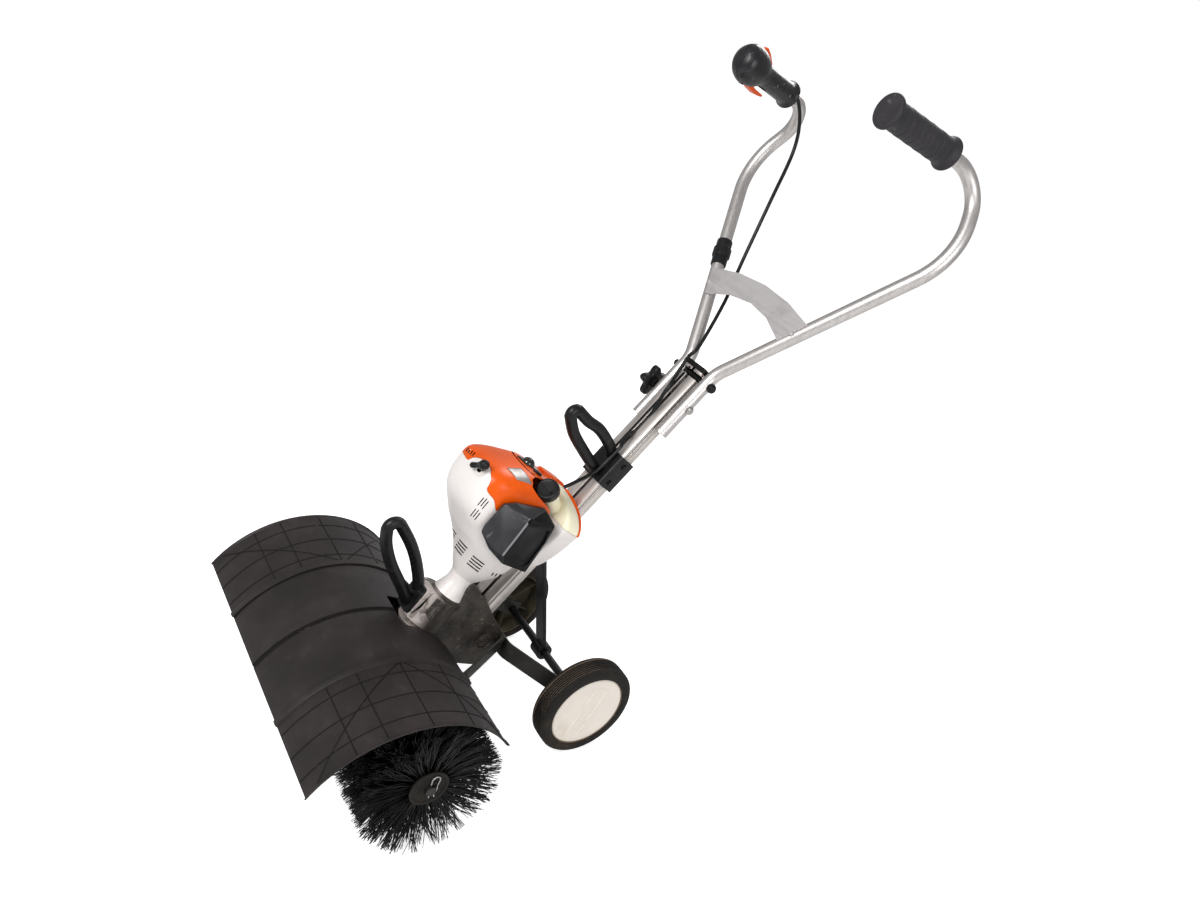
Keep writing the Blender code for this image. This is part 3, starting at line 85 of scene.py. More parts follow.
# %% Camera
# the measured model was moved by this much along Y, to stand centred over its origin
SHIFT_Y = -0.29313
EYE = Vector((1.184, -0.617 + SHIFT_Y, 1.295))
LOOK = Vector((-0.694, 0.576, -0.432)).normalized()
ASIDE = Vector((0.515, 0.817, 0.261))
LENS, SENSOR = 28.53, 36.0


def set_camera():
    right = (ASIDE - LOOK * ASIDE.dot(LOOK)).normalized()
    data = bpy.data.cameras.new("camera")
    data.sensor_width = SENSOR
    data.lens = LENS
    camera = bpy.data.objects.new("camera", data)
    bpy.context.scene.collection.objects.link(camera)
    turn = Matrix((right, right.cross(LOOK), -LOOK)).transposed().to_4x4()
    camera.matrix_world = Matrix.Translation(EYE) @ turn
    bpy.context.scene.camera = camera
    return camera


camera = set_camera()
print("camera looks from", tuple(round(c, 3) for c in camera.location))

# %% [markdown]
# ## Floor and light
# A studio sweep is a pale floor that fades into a white wall. The floor takes the shadow, and the
# white behind it comes from what the camera sees, not from more light on the machine.

# %% Light path mask
def seen_directly(tree):
    """One where the ray comes from the camera, and zero where it lights or reflects."""
    return tree.nodes.new("ShaderNodeLightPath").outputs["Is Camera Ray"]

# %% World, floor and lamps
WORLD_LIGHT, WORLD_SEEN = 0.42, 1.0
FLOOR_GREY, FLOOR_LIFT = 0.86, 0.70
FLOOR_SIZE, FLOOR_DROP = 30, 0.0004


def set_world():
    world = bpy.data.worlds.new("studio")
    bpy.context.scene.world = world
    world.use_nodes = True
    tree = world.node_tree
    back = tree.nodes["Background"]
    back.inputs["Color"].default_value = (1, 1, 1, 1)
    level = tree.nodes.new("ShaderNodeMapRange")
    level.inputs["To Min"].default_value = WORLD_LIGHT
    level.inputs["To Max"].default_value = WORLD_SEEN
    tree.links.new(seen_directly(tree), level.inputs["Value"])
    tree.links.new(level.outputs["Result"], back.inputs["Strength"])


def floor_paint():
    """A matt grey that also shines a little where the camera sees it."""
    made = bpy.data.materials.new("floor_white")
    made.use_nodes = True
    tree = made.node_tree
    tree.nodes.clear()
    out = tree.nodes.new("ShaderNodeOutputMaterial")
    paint = tree.nodes.new("ShaderNodeBsdfDiffuse")
    paint.inputs["Color"].default_value = (FLOOR_GREY, FLOOR_GREY, FLOOR_GREY, 1)
    lift = tree.nodes.new("ShaderNodeEmission")
    add = tree.nodes.new("ShaderNodeAddShader")
    level = tree.nodes.new("ShaderNodeMath")
    level.operation = "MULTIPLY"
    level.inputs[1].default_value = FLOOR_LIFT
    tree.links.new(seen_directly(tree), level.inputs[0])
    tree.links.new(level.outputs[0], lift.inputs["Strength"])
    tree.links.new(paint.outputs[0], add.inputs[0])
    tree.links.new(lift.outputs[0], add.inputs[1])
    tree.links.new(add.outputs[0], out.inputs["Surface"])
    return made


def set_floor():
    bm = bmesh.new()
    bmesh.ops.create_grid(bm, x_segments=1, y_segments=1, size=FLOOR_SIZE)
    mesh = bpy.data.meshes.new("floor")
    bm.to_mesh(mesh)
    bm.free()
    floor = bpy.data.objects.new("floor", mesh)
    floor.location.z = -FLOOR_DROP
    bpy.context.scene.collection.objects.link(floor)
    mesh.materials.append(floor_paint())
    return floor


def lamp(name, at, aim, size, power):
    data = bpy.data.lights.new(name, "AREA")
    data.shape = "DISK"
    data.size = size
    data.energy = power
    light = bpy.data.objects.new(name, data)
    bpy.context.scene.collection.objects.link(light)
    way = (Vector(aim) - Vector(at)).to_track_quat("-Z", "Y")
    light.matrix_world = Matrix.Translation(at) @ way.to_matrix().to_4x4()
    return light


set_world()
floor = set_floor()
lamps = [lamp("key_lamp", (0.6, -2.6, 3.0), (0, 0, 0.5), 1.6, 88),
         lamp("near_lamp", (2.9, -0.2, 1.7), (0, 0, 0.4), 1.8, 30),
         lamp("back_lamp", (-1.6, 2.6, 2.6), (0, 0, 0.6), 1.6, 40)]
bpy.context.scene.view_settings.view_transform = "Standard"
print(len(lamps), "lamps and", floor.name)

# %% [markdown]
# ## Places
# Several parts stand on slanted axes: the rail leans by 55 degrees from the floor, the engine by
# 58.5, and each grip follows its own tube. A matrix for each place lets a shape be written in
# plain upright coordinates and then laid where it belongs.

# %% Places
BRUSH_AT = (0, SHIFT_Y, 0.125)
RAIL_LEAN, ENGINE_LEAN = 55.0, 58.5


def leaning(origin, degrees):
    """A place whose X is the machine's, turned about X until its Z leans forward to the rear."""
    return Matrix.Translation(origin) @ Matrix.Rotation(math.radians(degrees - 90), 4, "X")


def grip_place(side):
    """A place at the tip of one handle tube, whose Z runs down the tube and Y to the floor."""
    along = Vector((side * 0.13982, 0.95758, -0.25199)).normalized()
    down = (Vector((0, 0, -1)) + along * along.z).normalized()
    turn = Matrix((down.cross(along), down, along)).transposed().to_4x4()
    return Matrix.Translation((side * 0.1717, 0.27407, 1.2313)) @ turn


RAIL = leaning(BRUSH_AT, RAIL_LEAN)
CASE = leaning((0, -0.27096, 0.11142), ENGINE_LEAN)
ENGINE = leaning((0, -0.16908, 0.27768), ENGINE_LEAN)
BRUSH = Matrix.Translation(BRUSH_AT)
AXLE = Matrix.Translation((0, 0.07487, 0.098))
PIVOT = Matrix.Translation((0, 0.20258, 0.66296))
SHIFT = Matrix.Translation((0, SHIFT_Y, 0))
GRIP_LEFT = grip_place(1)
GRIP_RIGHT = grip_place(-1)
print("rail points to", tuple(round(c, 3) for c in RAIL.col[2].xyz))

# %% [markdown]
# ## Surface groups
# Moulded plastic, paint and castings share the same signs of use: a fine grain, patches of dust
# and thin scuffs. One node group makes them, and each material sets how much of each it has.

# %% Colour helper
FLOAT, COLOUR = "NodeSocketFloat", "NodeSocketColor"


def rgb(r, g, b):
    """A colour as it looks on a screen, 0 to 255, in the linear values that a shader takes."""
    def linear(c):
        c = c / 255
        return c / 12.92 if c <= 0.04045 else ((c + 0.055) / 1.055) ** 2.4
    return (linear(r), linear(g), linear(b), 1.0)


def group_with(name, ins):
    """A node group with these inputs, and with colour, roughness and height as its outputs."""
    tree = bpy.data.node_groups.new(name, "ShaderNodeTree")
    for label, kind, value in ins:
        socket = tree.interface.new_socket(label, in_out="INPUT", socket_type=kind)
        socket.default_value = value
    for label, kind in (("Colour", COLOUR), ("Roughness", FLOAT), ("Height", FLOAT)):
        tree.interface.new_socket(label, in_out="OUTPUT", socket_type=kind)
    return tree, tree.nodes.new("NodeGroupInput").outputs


class Wires:
    """Short ways to place nodes in a tree and join them."""

    def __init__(self, tree):
        self.tree = tree

    def put(self, socket, value):
        if isinstance(value, bpy.types.NodeSocket):
            self.tree.links.new(value, socket)
        else:
            socket.default_value = value

    def math(self, operation, a, b=0.0, c=0.0, clamp=False):
        node = self.tree.nodes.new("ShaderNodeMath")
        node.operation = operation
        node.use_clamp = clamp
        for socket, value in zip(node.inputs, (a, b, c)):
            self.put(socket, value)
        return node.outputs[0]

    def noise(self, where, scale, detail=4.0, rough=0.55, stretch=None):
        node = self.tree.nodes.new("ShaderNodeTexNoise")
        if stretch:
            turn = self.tree.nodes.new("ShaderNodeMapping")
            turn.inputs["Scale"].default_value = stretch
            self.put(turn.inputs["Vector"], where)
            where = turn.outputs[0]
        self.put(node.inputs["Vector"], where)
        self.put(node.inputs["Scale"], scale)
        node.inputs["Detail"].default_value = detail
        node.inputs["Roughness"].default_value = rough
        return node.outputs["Fac"]

    def ramp(self, value, low, high, to_low=0.0, to_high=1.0):
        node = self.tree.nodes.new("ShaderNodeMapRange")
        node.interpolation_type = "SMOOTHSTEP"
        self.put(node.inputs["Value"], value)
        for label, number in (("From Min", low), ("From Max", high), ("To Min", to_low),
                              ("To Max", to_high)):
            self.put(node.inputs[label], number)
        return node.outputs["Result"]

    def mix(self, factor, a, b):
        node = self.tree.nodes.new("ShaderNodeMix")
        node.data_type = "RGBA"
        for socket, value in ((0, factor), (6, a), (7, b)):
            self.put(node.inputs[socket], value)
        return node.outputs[2]

    def vector(self, operation, vector, label, value):
        """A vector operation, with its second input named by its label or number."""
        node = self.tree.nodes.new("ShaderNodeVectorMath")
        node.operation = operation
        self.put(node.inputs[0], vector)
        self.put(node.inputs[label], value)
        return node.outputs

    def object_place(self):
        return self.tree.nodes.new("ShaderNodeTexCoord").outputs["Object"]

    def give(self, colour, rough, height):
        """Ends a group with its three outputs."""
        out = self.tree.nodes.new("NodeGroupOutput")
        for label, value in (("Colour", colour), ("Roughness", rough), ("Height", height)):
            self.put(out.inputs[label], value)


# %% Used surface: grain, dust and scuffs
# scuffs are noise drawn out long, each kind of them along its own axis
SCUFF_STRETCHES = ((3.0, 46.0, 9.0), (40.0, 4.0, 12.0), (9.0, 14.0, 60.0))


def used_surface():
    tree, given = group_with("used_surface", [
        ("Colour", COLOUR, (0.5, 0.5, 0.5, 1)), ("Dust colour", COLOUR, (0.3, 0.28, 0.25, 1)),
        ("Scuff colour", COLOUR, (0.6, 0.6, 0.6, 1)), ("Dust", FLOAT, 0.3),
        ("Scuffs", FLOAT, 0.3), ("Shade", FLOAT, 0.1), ("Roughness", FLOAT, 0.5),
        ("Grain", FLOAT, 0.3), ("Grain scale", FLOAT, 900.0)])
    w = Wires(tree)
    at = w.object_place()
    cloud = w.noise(at, 9.0, 6.0, 0.62)
    patch = w.noise(at, 34.0, 5.0, 0.6)
    shade = w.math("MULTIPLY_ADD", w.ramp(cloud, 0.3, 0.7, -1.0, 1.0), given["Shade"], 1.0)
    shaded = w.vector("SCALE", given["Colour"], "Scale", shade)[0]
    dusty = w.math("MULTIPLY", w.ramp(cloud, 0.44, 0.72), w.ramp(patch, 0.38, 0.66))
    dusty = w.math("MULTIPLY", dusty, given["Dust"], clamp=True)
    scuffs = 0.0
    for stretch in SCUFF_STRETCHES:
        line = w.noise(at, 3.2, 3.0, 0.5, stretch)
        marks = w.math("MULTIPLY", w.ramp(line, 0.655, 0.70), w.ramp(patch, 0.5, 0.62))
        scuffs = w.math("MAXIMUM", marks, scuffs)
    scuffs = w.math("MULTIPLY", scuffs, given["Scuffs"], clamp=True)
    colour = w.mix(dusty, shaded, given["Dust colour"])
    rough = w.math("MULTIPLY_ADD", dusty, 0.25, given["Roughness"])
    grain = w.noise(at, given["Grain scale"], 2.0, 0.5)
    w.give(w.mix(scuffs, colour, given["Scuff colour"]),
           w.math("MULTIPLY_ADD", w.ramp(patch, 0.3, 0.7, -1.0, 1.0), 0.05, rough, clamp=True),
           w.math("MULTIPLY_ADD", cloud, 0.3, w.math("MULTIPLY", grain, given["Grain"])))
    return tree


USED = used_surface()
print("group", USED.name, "with", len(USED.nodes), "nodes")


# %% Material from the group
def grouped(name, group, sets, metal, bump):
    """A material whose colour, roughness and bump, in millimetres, come from a group."""
    made = bpy.data.materials.new(name)
    made.use_nodes = True
    tree = made.node_tree
    shader = tree.nodes["Principled BSDF"]
    node = tree.nodes.new("ShaderNodeGroup")
    node.node_tree = group
    for label, value in sets.items():
        node.inputs[label].default_value = value
    bumped = tree.nodes.new("ShaderNodeBump")
    bumped.inputs["Distance"].default_value = bump * 0.001
    tree.links.new(node.outputs["Height"], bumped.inputs["Height"])
    tree.links.new(node.outputs["Colour"], shader.inputs["Base Color"])
    tree.links.new(node.outputs["Roughness"], shader.inputs["Roughness"])
    tree.links.new(bumped.outputs["Normal"], shader.inputs["Normal"])
    shader.inputs["Metallic"].default_value = metal
    return made


def material(name, colour, rough=0.5, metal=0.0, dust=0.2, scuffs=0.2, shade=0.1, grain=0.3,
             scale=900.0, bump=0.05, coat=0.0, dust_colour=rgb(120, 112, 102),
             scuff_colour=rgb(150, 146, 140), specular=0.5):
    """A used surface: how dirty and scuffed it is, how grainy and how glossy."""
    made = grouped(name, USED, {
        "Colour": colour, "Dust": dust, "Scuffs": scuffs, "Shade": shade, "Roughness": rough,
        "Grain": grain, "Grain scale": scale, "Dust colour": dust_colour,
        "Scuff colour": scuff_colour}, metal, bump)
    shader = made.node_tree.nodes["Principled BSDF"]
    shader.inputs["Coat Weight"].default_value = coat
    shader.inputs["Specular IOR Level"].default_value = specular
    made.diffuse_color = colour
    return made


WHITE = material("white_plastic", rgb(236, 230, 227), 0.36, dust=0.16, scuffs=0.12, shade=0.03,
                 grain=0.2, bump=0.02, coat=0.1, dust_colour=rgb(196, 188, 178))
ORANGE = material("orange_plastic", rgb(230, 88, 6), 0.30, dust=0.16, scuffs=0.2, shade=0.14,
                  bump=0.02, dust_colour=rgb(150, 66, 24), scuff_colour=rgb(250, 150, 80),
                  specular=0.25)
CHARCOAL = material("cover_plastic", rgb(42, 37, 37), 0.50, dust=0.5, scuffs=0.12, shade=0.25,
                    grain=1.0, scale=1400, bump=0.07, dust_colour=rgb(62, 56, 52),
                    scuff_colour=rgb(84, 78, 74), specular=0.25)
BLACK = material("black_plastic", rgb(17, 17, 18), 0.36, dust=0.3, scuffs=0.35, grain=0.8,
                 bump=0.05, dust_colour=rgb(44, 41, 38), scuff_colour=rgb(70, 68, 66),
                 specular=0.3)
SLATE = material("filter_plastic", rgb(38, 38, 42), 0.34, dust=0.3, scuffs=0.25, shade=0.12,
                 grain=1.0, scale=1800, bump=0.04, dust_colour=rgb(66, 64, 66), specular=0.5)
# the filter plastic, darker: painted shade for the right-hand facets and the panel's walls
SLATE_SHADED = material("filter_plastic_painted_shade", rgb(9, 9, 10), 0.42, dust=0.15, scuffs=0.2,
                      grain=1.0, scale=1800, bump=0.04, dust_colour=rgb(30, 29, 30),
                      scuff_colour=rgb(60, 58, 58), specular=0.12)
# a pale copy of the filter plastic: a painted highlight along the rounded ridge
SLATE_HIGHLIGHT = material("filter_plastic_painted_highlight", rgb(128, 126, 130), 0.3, dust=0.2, scuffs=0.2,
                      grain=1.0, scale=1800, bump=0.04, dust_colour=rgb(70, 68, 70))
RIB = material("cover_rib_plastic", rgb(24, 21, 21), 0.6, dust=0.2, scuffs=0.1, bump=0.03,
               dust_colour=rgb(34, 30, 28), specular=0.15)
TREAD = material("tread_dust", rgb(146, 128, 110), 0.85, dust=0.5, scuffs=0.1, shade=0.3, grain=1.0,
                 scale=400, bump=0.1, dust_colour=rgb(60, 52, 44), specular=0.1)
CREAM = material("tank_plastic", rgb(250, 244, 214), 0.38, dust=0.25, scuffs=0.1, shade=0.05,
                 bump=0.03, coat=0.1, dust_colour=rgb(214, 196, 140))
RUBBER = material("grip_rubber", rgb(46, 44, 48), 0.58, dust=0.5, scuffs=0.6, shade=0.16,
                  grain=1.0, scale=700, bump=0.1, dust_colour=rgb(70, 67, 68),
                  scuff_colour=rgb(104, 102, 102), specular=0.3)
TYRE = material("tyre_rubber", rgb(27, 24, 21), 0.74, dust=0.7, scuffs=0.3, shade=0.2, grain=1.0,
                scale=500, bump=0.2, dust_colour=rgb(72, 62, 52), scuff_colour=rgb(92, 84, 74),
                specular=0.25)
DISC = material("disc_plastic", rgb(236, 227, 216), 0.45, dust=0.35, scuffs=0.25, shade=0.05,
                bump=0.04, dust_colour=rgb(196, 180, 160), scuff_colour=rgb(160, 150, 140))
STRAND = material("bristle_nylon", rgb(20, 18, 18), 0.42, dust=0.3, scuffs=0.0, shade=0.2,
                  grain=0.0, bump=0.01, dust_colour=rgb(40, 36, 33), specular=0.3)
IRON = material("dark_paint", rgb(34, 33, 30), 0.46, metal=0.1, dust=0.5, scuffs=0.5, shade=0.15,
                grain=1.0, scale=420, bump=0.12, dust_colour=rgb(60, 56, 48),
                scuff_colour=rgb(100, 96, 88), specular=0.35)
SIGNAL = material("trigger_plastic", rgb(234, 88, 20), 0.35, dust=0.1, scuffs=0.2, bump=0.02,
                  dust_colour=rgb(150, 74, 40), scuff_colour=rgb(246, 160, 110))
HEAD = material("throttle_plastic", rgb(24, 24, 27), 0.32, dust=0.3, scuffs=0.4, shade=0.1,
                grain=0.8, bump=0.04, dust_colour=rgb(62, 60, 60), scuff_colour=rgb(110, 110, 114),
                specular=0.45)
# a darker finish for the wheel centres' inner faces
WHEEL_INSIDE_DARKER = material("wheel_inside_darker", rgb(66, 62, 48), 0.7, dust=0.7, scuffs=0.2, shade=0.3, grain=1.0,
                 scale=300, bump=0.1, dust_colour=rgb(46, 42, 32), specular=0.2)
STEEL = material("plated_steel", rgb(186, 184, 180), 0.34, metal=1.0, dust=0.3, scuffs=0.3,
                 bump=0.04, dust_colour=rgb(110, 98, 84))
BRASS = material("gear_bronze", rgb(176, 132, 72), 0.3, metal=1.0, dust=0.2, bump=0.03)
INSIDE = material("inner_metal", rgb(120, 118, 116), 0.5, metal=1.0, dust=0.4, scuffs=0.1,
                  grain=1.0, scale=300, bump=0.2)
print("plastics, rubbers and plain metals:", len(bpy.data.materials))

# %% [markdown]
# ## Bare metals
# Drawn aluminium has fine streaks along the tube, and a sand casting has a pitted skin with
# grease in its hollows. Both are worth a group of their own.

# %% Drawn aluminium
def drawn_metal():
    tree, given = group_with("drawn_metal", [
        ("Colour", COLOUR, (0.6, 0.6, 0.6, 1)), ("Dull colour", COLOUR, (0.3, 0.3, 0.3, 1)),
        ("Turn", "NodeSocketVector", (0, 0, 0)), ("Roughness", FLOAT, 0.3),
        ("Dull", FLOAT, 0.3)])
    w = Wires(tree)
    turn = tree.nodes.new("ShaderNodeMapping")
    w.put(turn.inputs["Vector"], w.object_place())
    w.put(turn.inputs["Rotation"], given["Turn"])
    at = turn.outputs[0]
    streak = w.noise(at, 1.0, 4.0, 0.6, (520.0, 520.0, 9.0))
    long_streak = w.noise(at, 1.0, 3.0, 0.5, (150.0, 150.0, 2.0))
    cloud = w.noise(at, 14.0, 5.0, 0.6)
    spots = w.noise(at, 120.0, 3.0, 0.6)
    dull = w.math("MULTIPLY", w.ramp(cloud, 0.42, 0.72), given["Dull"])
    pits = w.math("MULTIPLY", w.ramp(spots, 0.66, 0.74), given["Dull"])
    dull = w.math("MAXIMUM", dull, pits, clamp=True)
    tone = w.math("MULTIPLY_ADD", w.ramp(long_streak, 0.3, 0.7, -1.0, 1.0), 0.06, 1.0)
    toned = w.vector("SCALE", given["Colour"], "Scale", tone)[0]
    rough = w.math("MULTIPLY_ADD", dull, 0.22, given["Roughness"])
    w.give(w.mix(dull, toned, given["Dull colour"]),
           w.math("MULTIPLY_ADD", w.ramp(streak, 0.3, 0.7, -1.0, 1.0), 0.05, rough, clamp=True),
           w.math("MULTIPLY_ADD", streak, 0.6, spots))
    return tree


DRAWN = drawn_metal()
TUBE = grouped("handle_aluminium", DRAWN, {
    "Colour": rgb(208, 204, 202), "Dull colour": rgb(168, 163, 159), "Roughness": 0.42,
    "Dull": 0.12}, 1.0, 0.008)
PROFILE = grouped("rail_aluminium", DRAWN, {
    "Colour": rgb(216, 209, 204), "Dull colour": rgb(146, 138, 130), "Roughness": 0.40,
    "Dull": 0.30, "Turn": (math.radians(35), 0, 0)}, 0.85, 0.008)
SHEET = grouped("brace_aluminium", DRAWN, {
    "Colour": rgb(206, 202, 202), "Dull colour": rgb(150, 146, 145), "Roughness": 0.4,
    "Dull": 0.5, "Turn": (0, math.radians(90), 0)}, 0.6, 0.03)

# %% Sand casting
def sand_casting():
    tree, given = group_with("sand_casting", [
        ("Colour", COLOUR, (0.3, 0.28, 0.26, 1)),
        ("Grease colour", COLOUR, (0.03, 0.025, 0.02, 1)),
        ("Bright colour", COLOUR, (0.6, 0.58, 0.55, 1)), ("Grease", FLOAT, 0.6),
        ("Roughness", FLOAT, 0.5)])
    w = Wires(tree)
    at = w.object_place()
    cloud = w.noise(at, 22.0, 6.0, 0.65)
    rust = w.noise(at, 55.0, 4.0, 0.6)
    pits = tree.nodes.new("ShaderNodeTexVoronoi")
    pits.feature = "F1"
    pits.inputs["Scale"].default_value = 360.0
    w.put(pits.inputs["Vector"], at)
    skin = w.noise(at, 240.0, 4.0, 0.65)
    grease = w.math("MULTIPLY", w.ramp(cloud, 0.40, 0.66), given["Grease"], clamp=True)
    bright = w.math("MULTIPLY", w.ramp(rust, 0.58, 0.72), w.ramp(skin, 0.45, 0.6))
    bright = w.math("MULTIPLY", bright, w.math("SUBTRACT", 1.0, grease), clamp=True)
    colour = w.mix(grease, given["Colour"], given["Grease colour"])
    rough = w.math("MULTIPLY_ADD", grease, -0.12, given["Roughness"])
    w.give(w.mix(bright, colour, given["Bright colour"]),
           w.math("MULTIPLY_ADD", w.ramp(skin, 0.3, 0.7, -1.0, 1.0), 0.08, rough, clamp=True),
           w.math("MULTIPLY_ADD", pits.outputs["Distance"], 0.6, skin))
    return tree


CAST_SKIN = sand_casting()
CAST = grouped("case_casting", CAST_SKIN, {
    "Colour": rgb(66, 60, 54), "Grease colour": rgb(24, 21, 18),
    "Bright colour": rgb(150, 142, 136), "Grease": 0.85, "Roughness": 0.42}, 0.3, 0.35)
DIE_CAST = grouped("inner_casting", CAST_SKIN, {
    "Colour": rgb(160, 158, 154), "Grease colour": rgb(90, 84, 78),
    "Bright colour": rgb(210, 208, 205), "Grease": 0.4, "Roughness": 0.45}, 0.9, 0.2)
LUG = grouped("lug_casting", CAST_SKIN, {
    "Colour": rgb(150, 144, 138), "Grease colour": rgb(30, 27, 24),
    "Bright colour": rgb(226, 222, 216), "Grease": 0.6, "Roughness": 0.26}, 0.85, 0.3)


def paler_head(made, towards, low, high, colour):
    """Mixes in a paler skin, with less grease on it, where the casting reaches past a line."""
    tree = made.node_tree
    group = next(node for node in tree.nodes if node.type == "GROUP")
    w = Wires(tree)
    at = w.object_place()
    along = w.vector("DOT_PRODUCT", at, 1, towards)["Value"]
    share = w.ramp(along, low, high, 1.0, 0.0)
    share = w.math("MULTIPLY", share, w.ramp(w.noise(at, 60.0), 0.3, 0.5, 0.5, 1.0))
    dark = tuple(group.inputs["Colour"].default_value)
    w.put(group.inputs["Colour"], w.mix(share, dark, colour))
    w.put(group.inputs["Grease"], w.math("MULTIPLY_ADD", share, -0.5, 0.85))


# the head of the casting, which carries the engine, is the palest part of it
paler_head(CAST, ENGINE.col[1].xyz, -0.330, -0.310, rgb(216, 204, 198))
print("metal groups", DRAWN.name, CAST_SKIN.name)

# %% [markdown]
# ## Finished copies
# A good way to finish a measured part is to keep its shape and soften its edges. The measured
# mesh is loose triangles, so a copy is merged, its flat faces are joined up again, and a bevel
# then rounds each real edge by a fraction of a millimetre, which is what catches the light.

# %% Helpers for pieces
def piece_from(bm, name, paint, body, stands_for=(), smooth=35, place=None):
    """Makes an object of a bmesh, laid in its place, and hangs it on a body."""
    if place:
        bmesh.ops.transform(bm, matrix=place, verts=bm.verts)
    mesh = bpy.data.meshes.new(name)
    bm.to_mesh(mesh)
    bm.free()
    if smooth:
        mesh.shade_smooth()
        mesh.set_sharp_from_angle(angle=math.radians(smooth))
    made = bpy.data.objects.new(name, mesh)
    bpy.context.scene.collection.objects.link(made)
    if paint is not None:
        mesh.materials.append(paint)
    if body:
        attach(made, body)
    if stands_for:
        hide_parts(*stands_for)
    return made


def rounded(made, width, segments=2, angle=45, clamp=True):
    """Softens the piece's real edges, which is what catches the light."""
    soft = made.modifiers.new("soft_edges", "BEVEL")
    soft.width = width
    soft.segments = segments
    soft.limit_method = "ANGLE"
    soft.angle_limit = math.radians(angle)
    soft.use_clamp_overlap = clamp
    soft.harden_normals = True
    return made


def settled(made):
    """Turns the piece's live modifiers into mesh, so that it can be cut further."""
    bpy.context.view_layer.update()
    whole = bpy.data.meshes.new_from_object(
        made.evaluated_get(bpy.context.evaluated_depsgraph_get()))
    made.modifiers.clear()
    made.data = whole
    return made


def resharpen(made, angle=35):
    """Marks the sharp edges again, after the mesh has changed."""
    made.data.shade_smooth()
    made.data.set_sharp_from_angle(angle=math.radians(angle))
    return made


# %% Parts that keep their measured shape
def body_of(node):
    for name, members in frame["record"]["behaviour"]["bodies"].items():
        if node in members:
            return name
    raise ValueError(node)


def merged_copy(node):
    """The node's mesh with its doubles merged and its flat faces whole."""
    bm = bmesh.new()
    bm.from_mesh(nodes[node].data)
    bmesh.ops.transform(bm, matrix=nodes[node].matrix_world, verts=bm.verts)
    bmesh.ops.remove_doubles(bm, verts=bm.verts, dist=2e-5)
    bmesh.ops.dissolve_limit(bm, angle_limit=math.radians(0.6), use_dissolve_boundaries=False,
                             verts=bm.verts, edges=bm.edges)
    return bm


def finished_copy(node, paint, width):
    made = piece_from(merged_copy(node), node + "_finished", paint, body_of(node), (node,))
    return rounded(made, width, angle=32, clamp=False)


FINISH = {
    "gear_case": (CAST, 0.0012), "gear_cover": (CAST, 0.0006), "filler_plug": (CAST, 0.0004),
    "output_shaft": (IRON, 0.0005), "cover_holder": (IRON, 0.0006), "rail": (PROFILE, 0.0004),
    "rail_end_cap": (BLACK, 0.0010), "wheel_arms": (IRON, 0.0008), "axle_strut": (BLACK, 0.0010),
    "wheel_axle": (BLACK, 0.0006), "clamp_bolt": (STEEL, 0.0004), "stop_bolt": (BLACK, 0.0008),
    "throttle_trigger": (SIGNAL, 0.0012), "trigger_lock": (SIGNAL, 0.0012),
    "choke_lever": (BLACK, 0.0005), "cross_brace": (SHEET, 0.0003),
}
made_copies = {node: finished_copy(node, *finish) for node, finish in FINISH.items()}
print("finished copies:", len(made_copies))

# %% Parts inside the machine
HIDDEN = {
    "worm_shaft": STEEL, "worm_wheel": BRASS, "clutch_drum": STEEL, "bearing_left": STEEL,
    "bearing_right": STEEL, "crankcase": DIE_CAST, "cylinder": DIE_CAST, "piston": INSIDE,
    "connecting_rod": STEEL, "crankshaft": STEEL, "flywheel": DIE_CAST, "spark_plug": WHITE,
    "muffler": IRON, "carburettor": DIE_CAST, "starter_pulley": BLACK,
}
for node, paint in HIDDEN.items():
    slots = nodes[node].material_slots
    if not slots:
        nodes[node].data.materials.append(paint)
    for entry in slots:
        entry.material = paint
print("inner parts with their own finish:", len(HIDDEN))

# %% [markdown]
# ## Tubes
# The handle is 25 mm aluminium tube, bent four times. A curve with a round section is the natural
# way to draw it: its corners are rounded by arcs, so the tube keeps its thickness in each bend.

# %% Rounded paths
def facing(way):
    """A turn that brings Z round to the given way."""
    return way.to_track_quat("Z", "Y").to_matrix().to_4x4()


def rounded_path(corners, radii, steps=14):
    """The corners joined by straight runs, with an arc of the given radius at each inner one."""
    corners = [Vector(c) for c in corners]
    path = [corners[0]]
    for before, corner, after, radius in zip(corners, corners[1:], corners[2:], radii):
        a, b = (before - corner).normalized(), (after - corner).normalized()
        half = a.angle(b) / 2
        reach = radius / math.tan(half)
        middle = corner + (a + b).normalized() * (radius / math.sin(half))
        start, end = corner + a * reach - middle, corner + b * reach - middle
        for k in range(steps + 1):
            path.append(middle + start.slerp(end, k / steps).normalized() * radius)
    return path + [corners[-1]]


def between(a, b, c, d, t):
    """The value a share t of the way from b to c, on a smooth curve through all four."""
    return 0.5 * (2 * b + (c - a) * t + (2 * a - 5 * b + 4 * c - d) * t**2
                  + (3 * b - a - 3 * c + d) * t**3)


def smooth_path(points, steps=6):
    """A path through the points, with no corner at any of them."""
    points = [Vector(p) for p in points]
    ends = [points[0] * 2 - points[1], *points, points[-1] * 2 - points[-2]]
    path = [between(*ends[k:k + 4], n / steps) for k in range(len(points) - 1)
            for n in range(steps)]
    return path + [points[-1]]


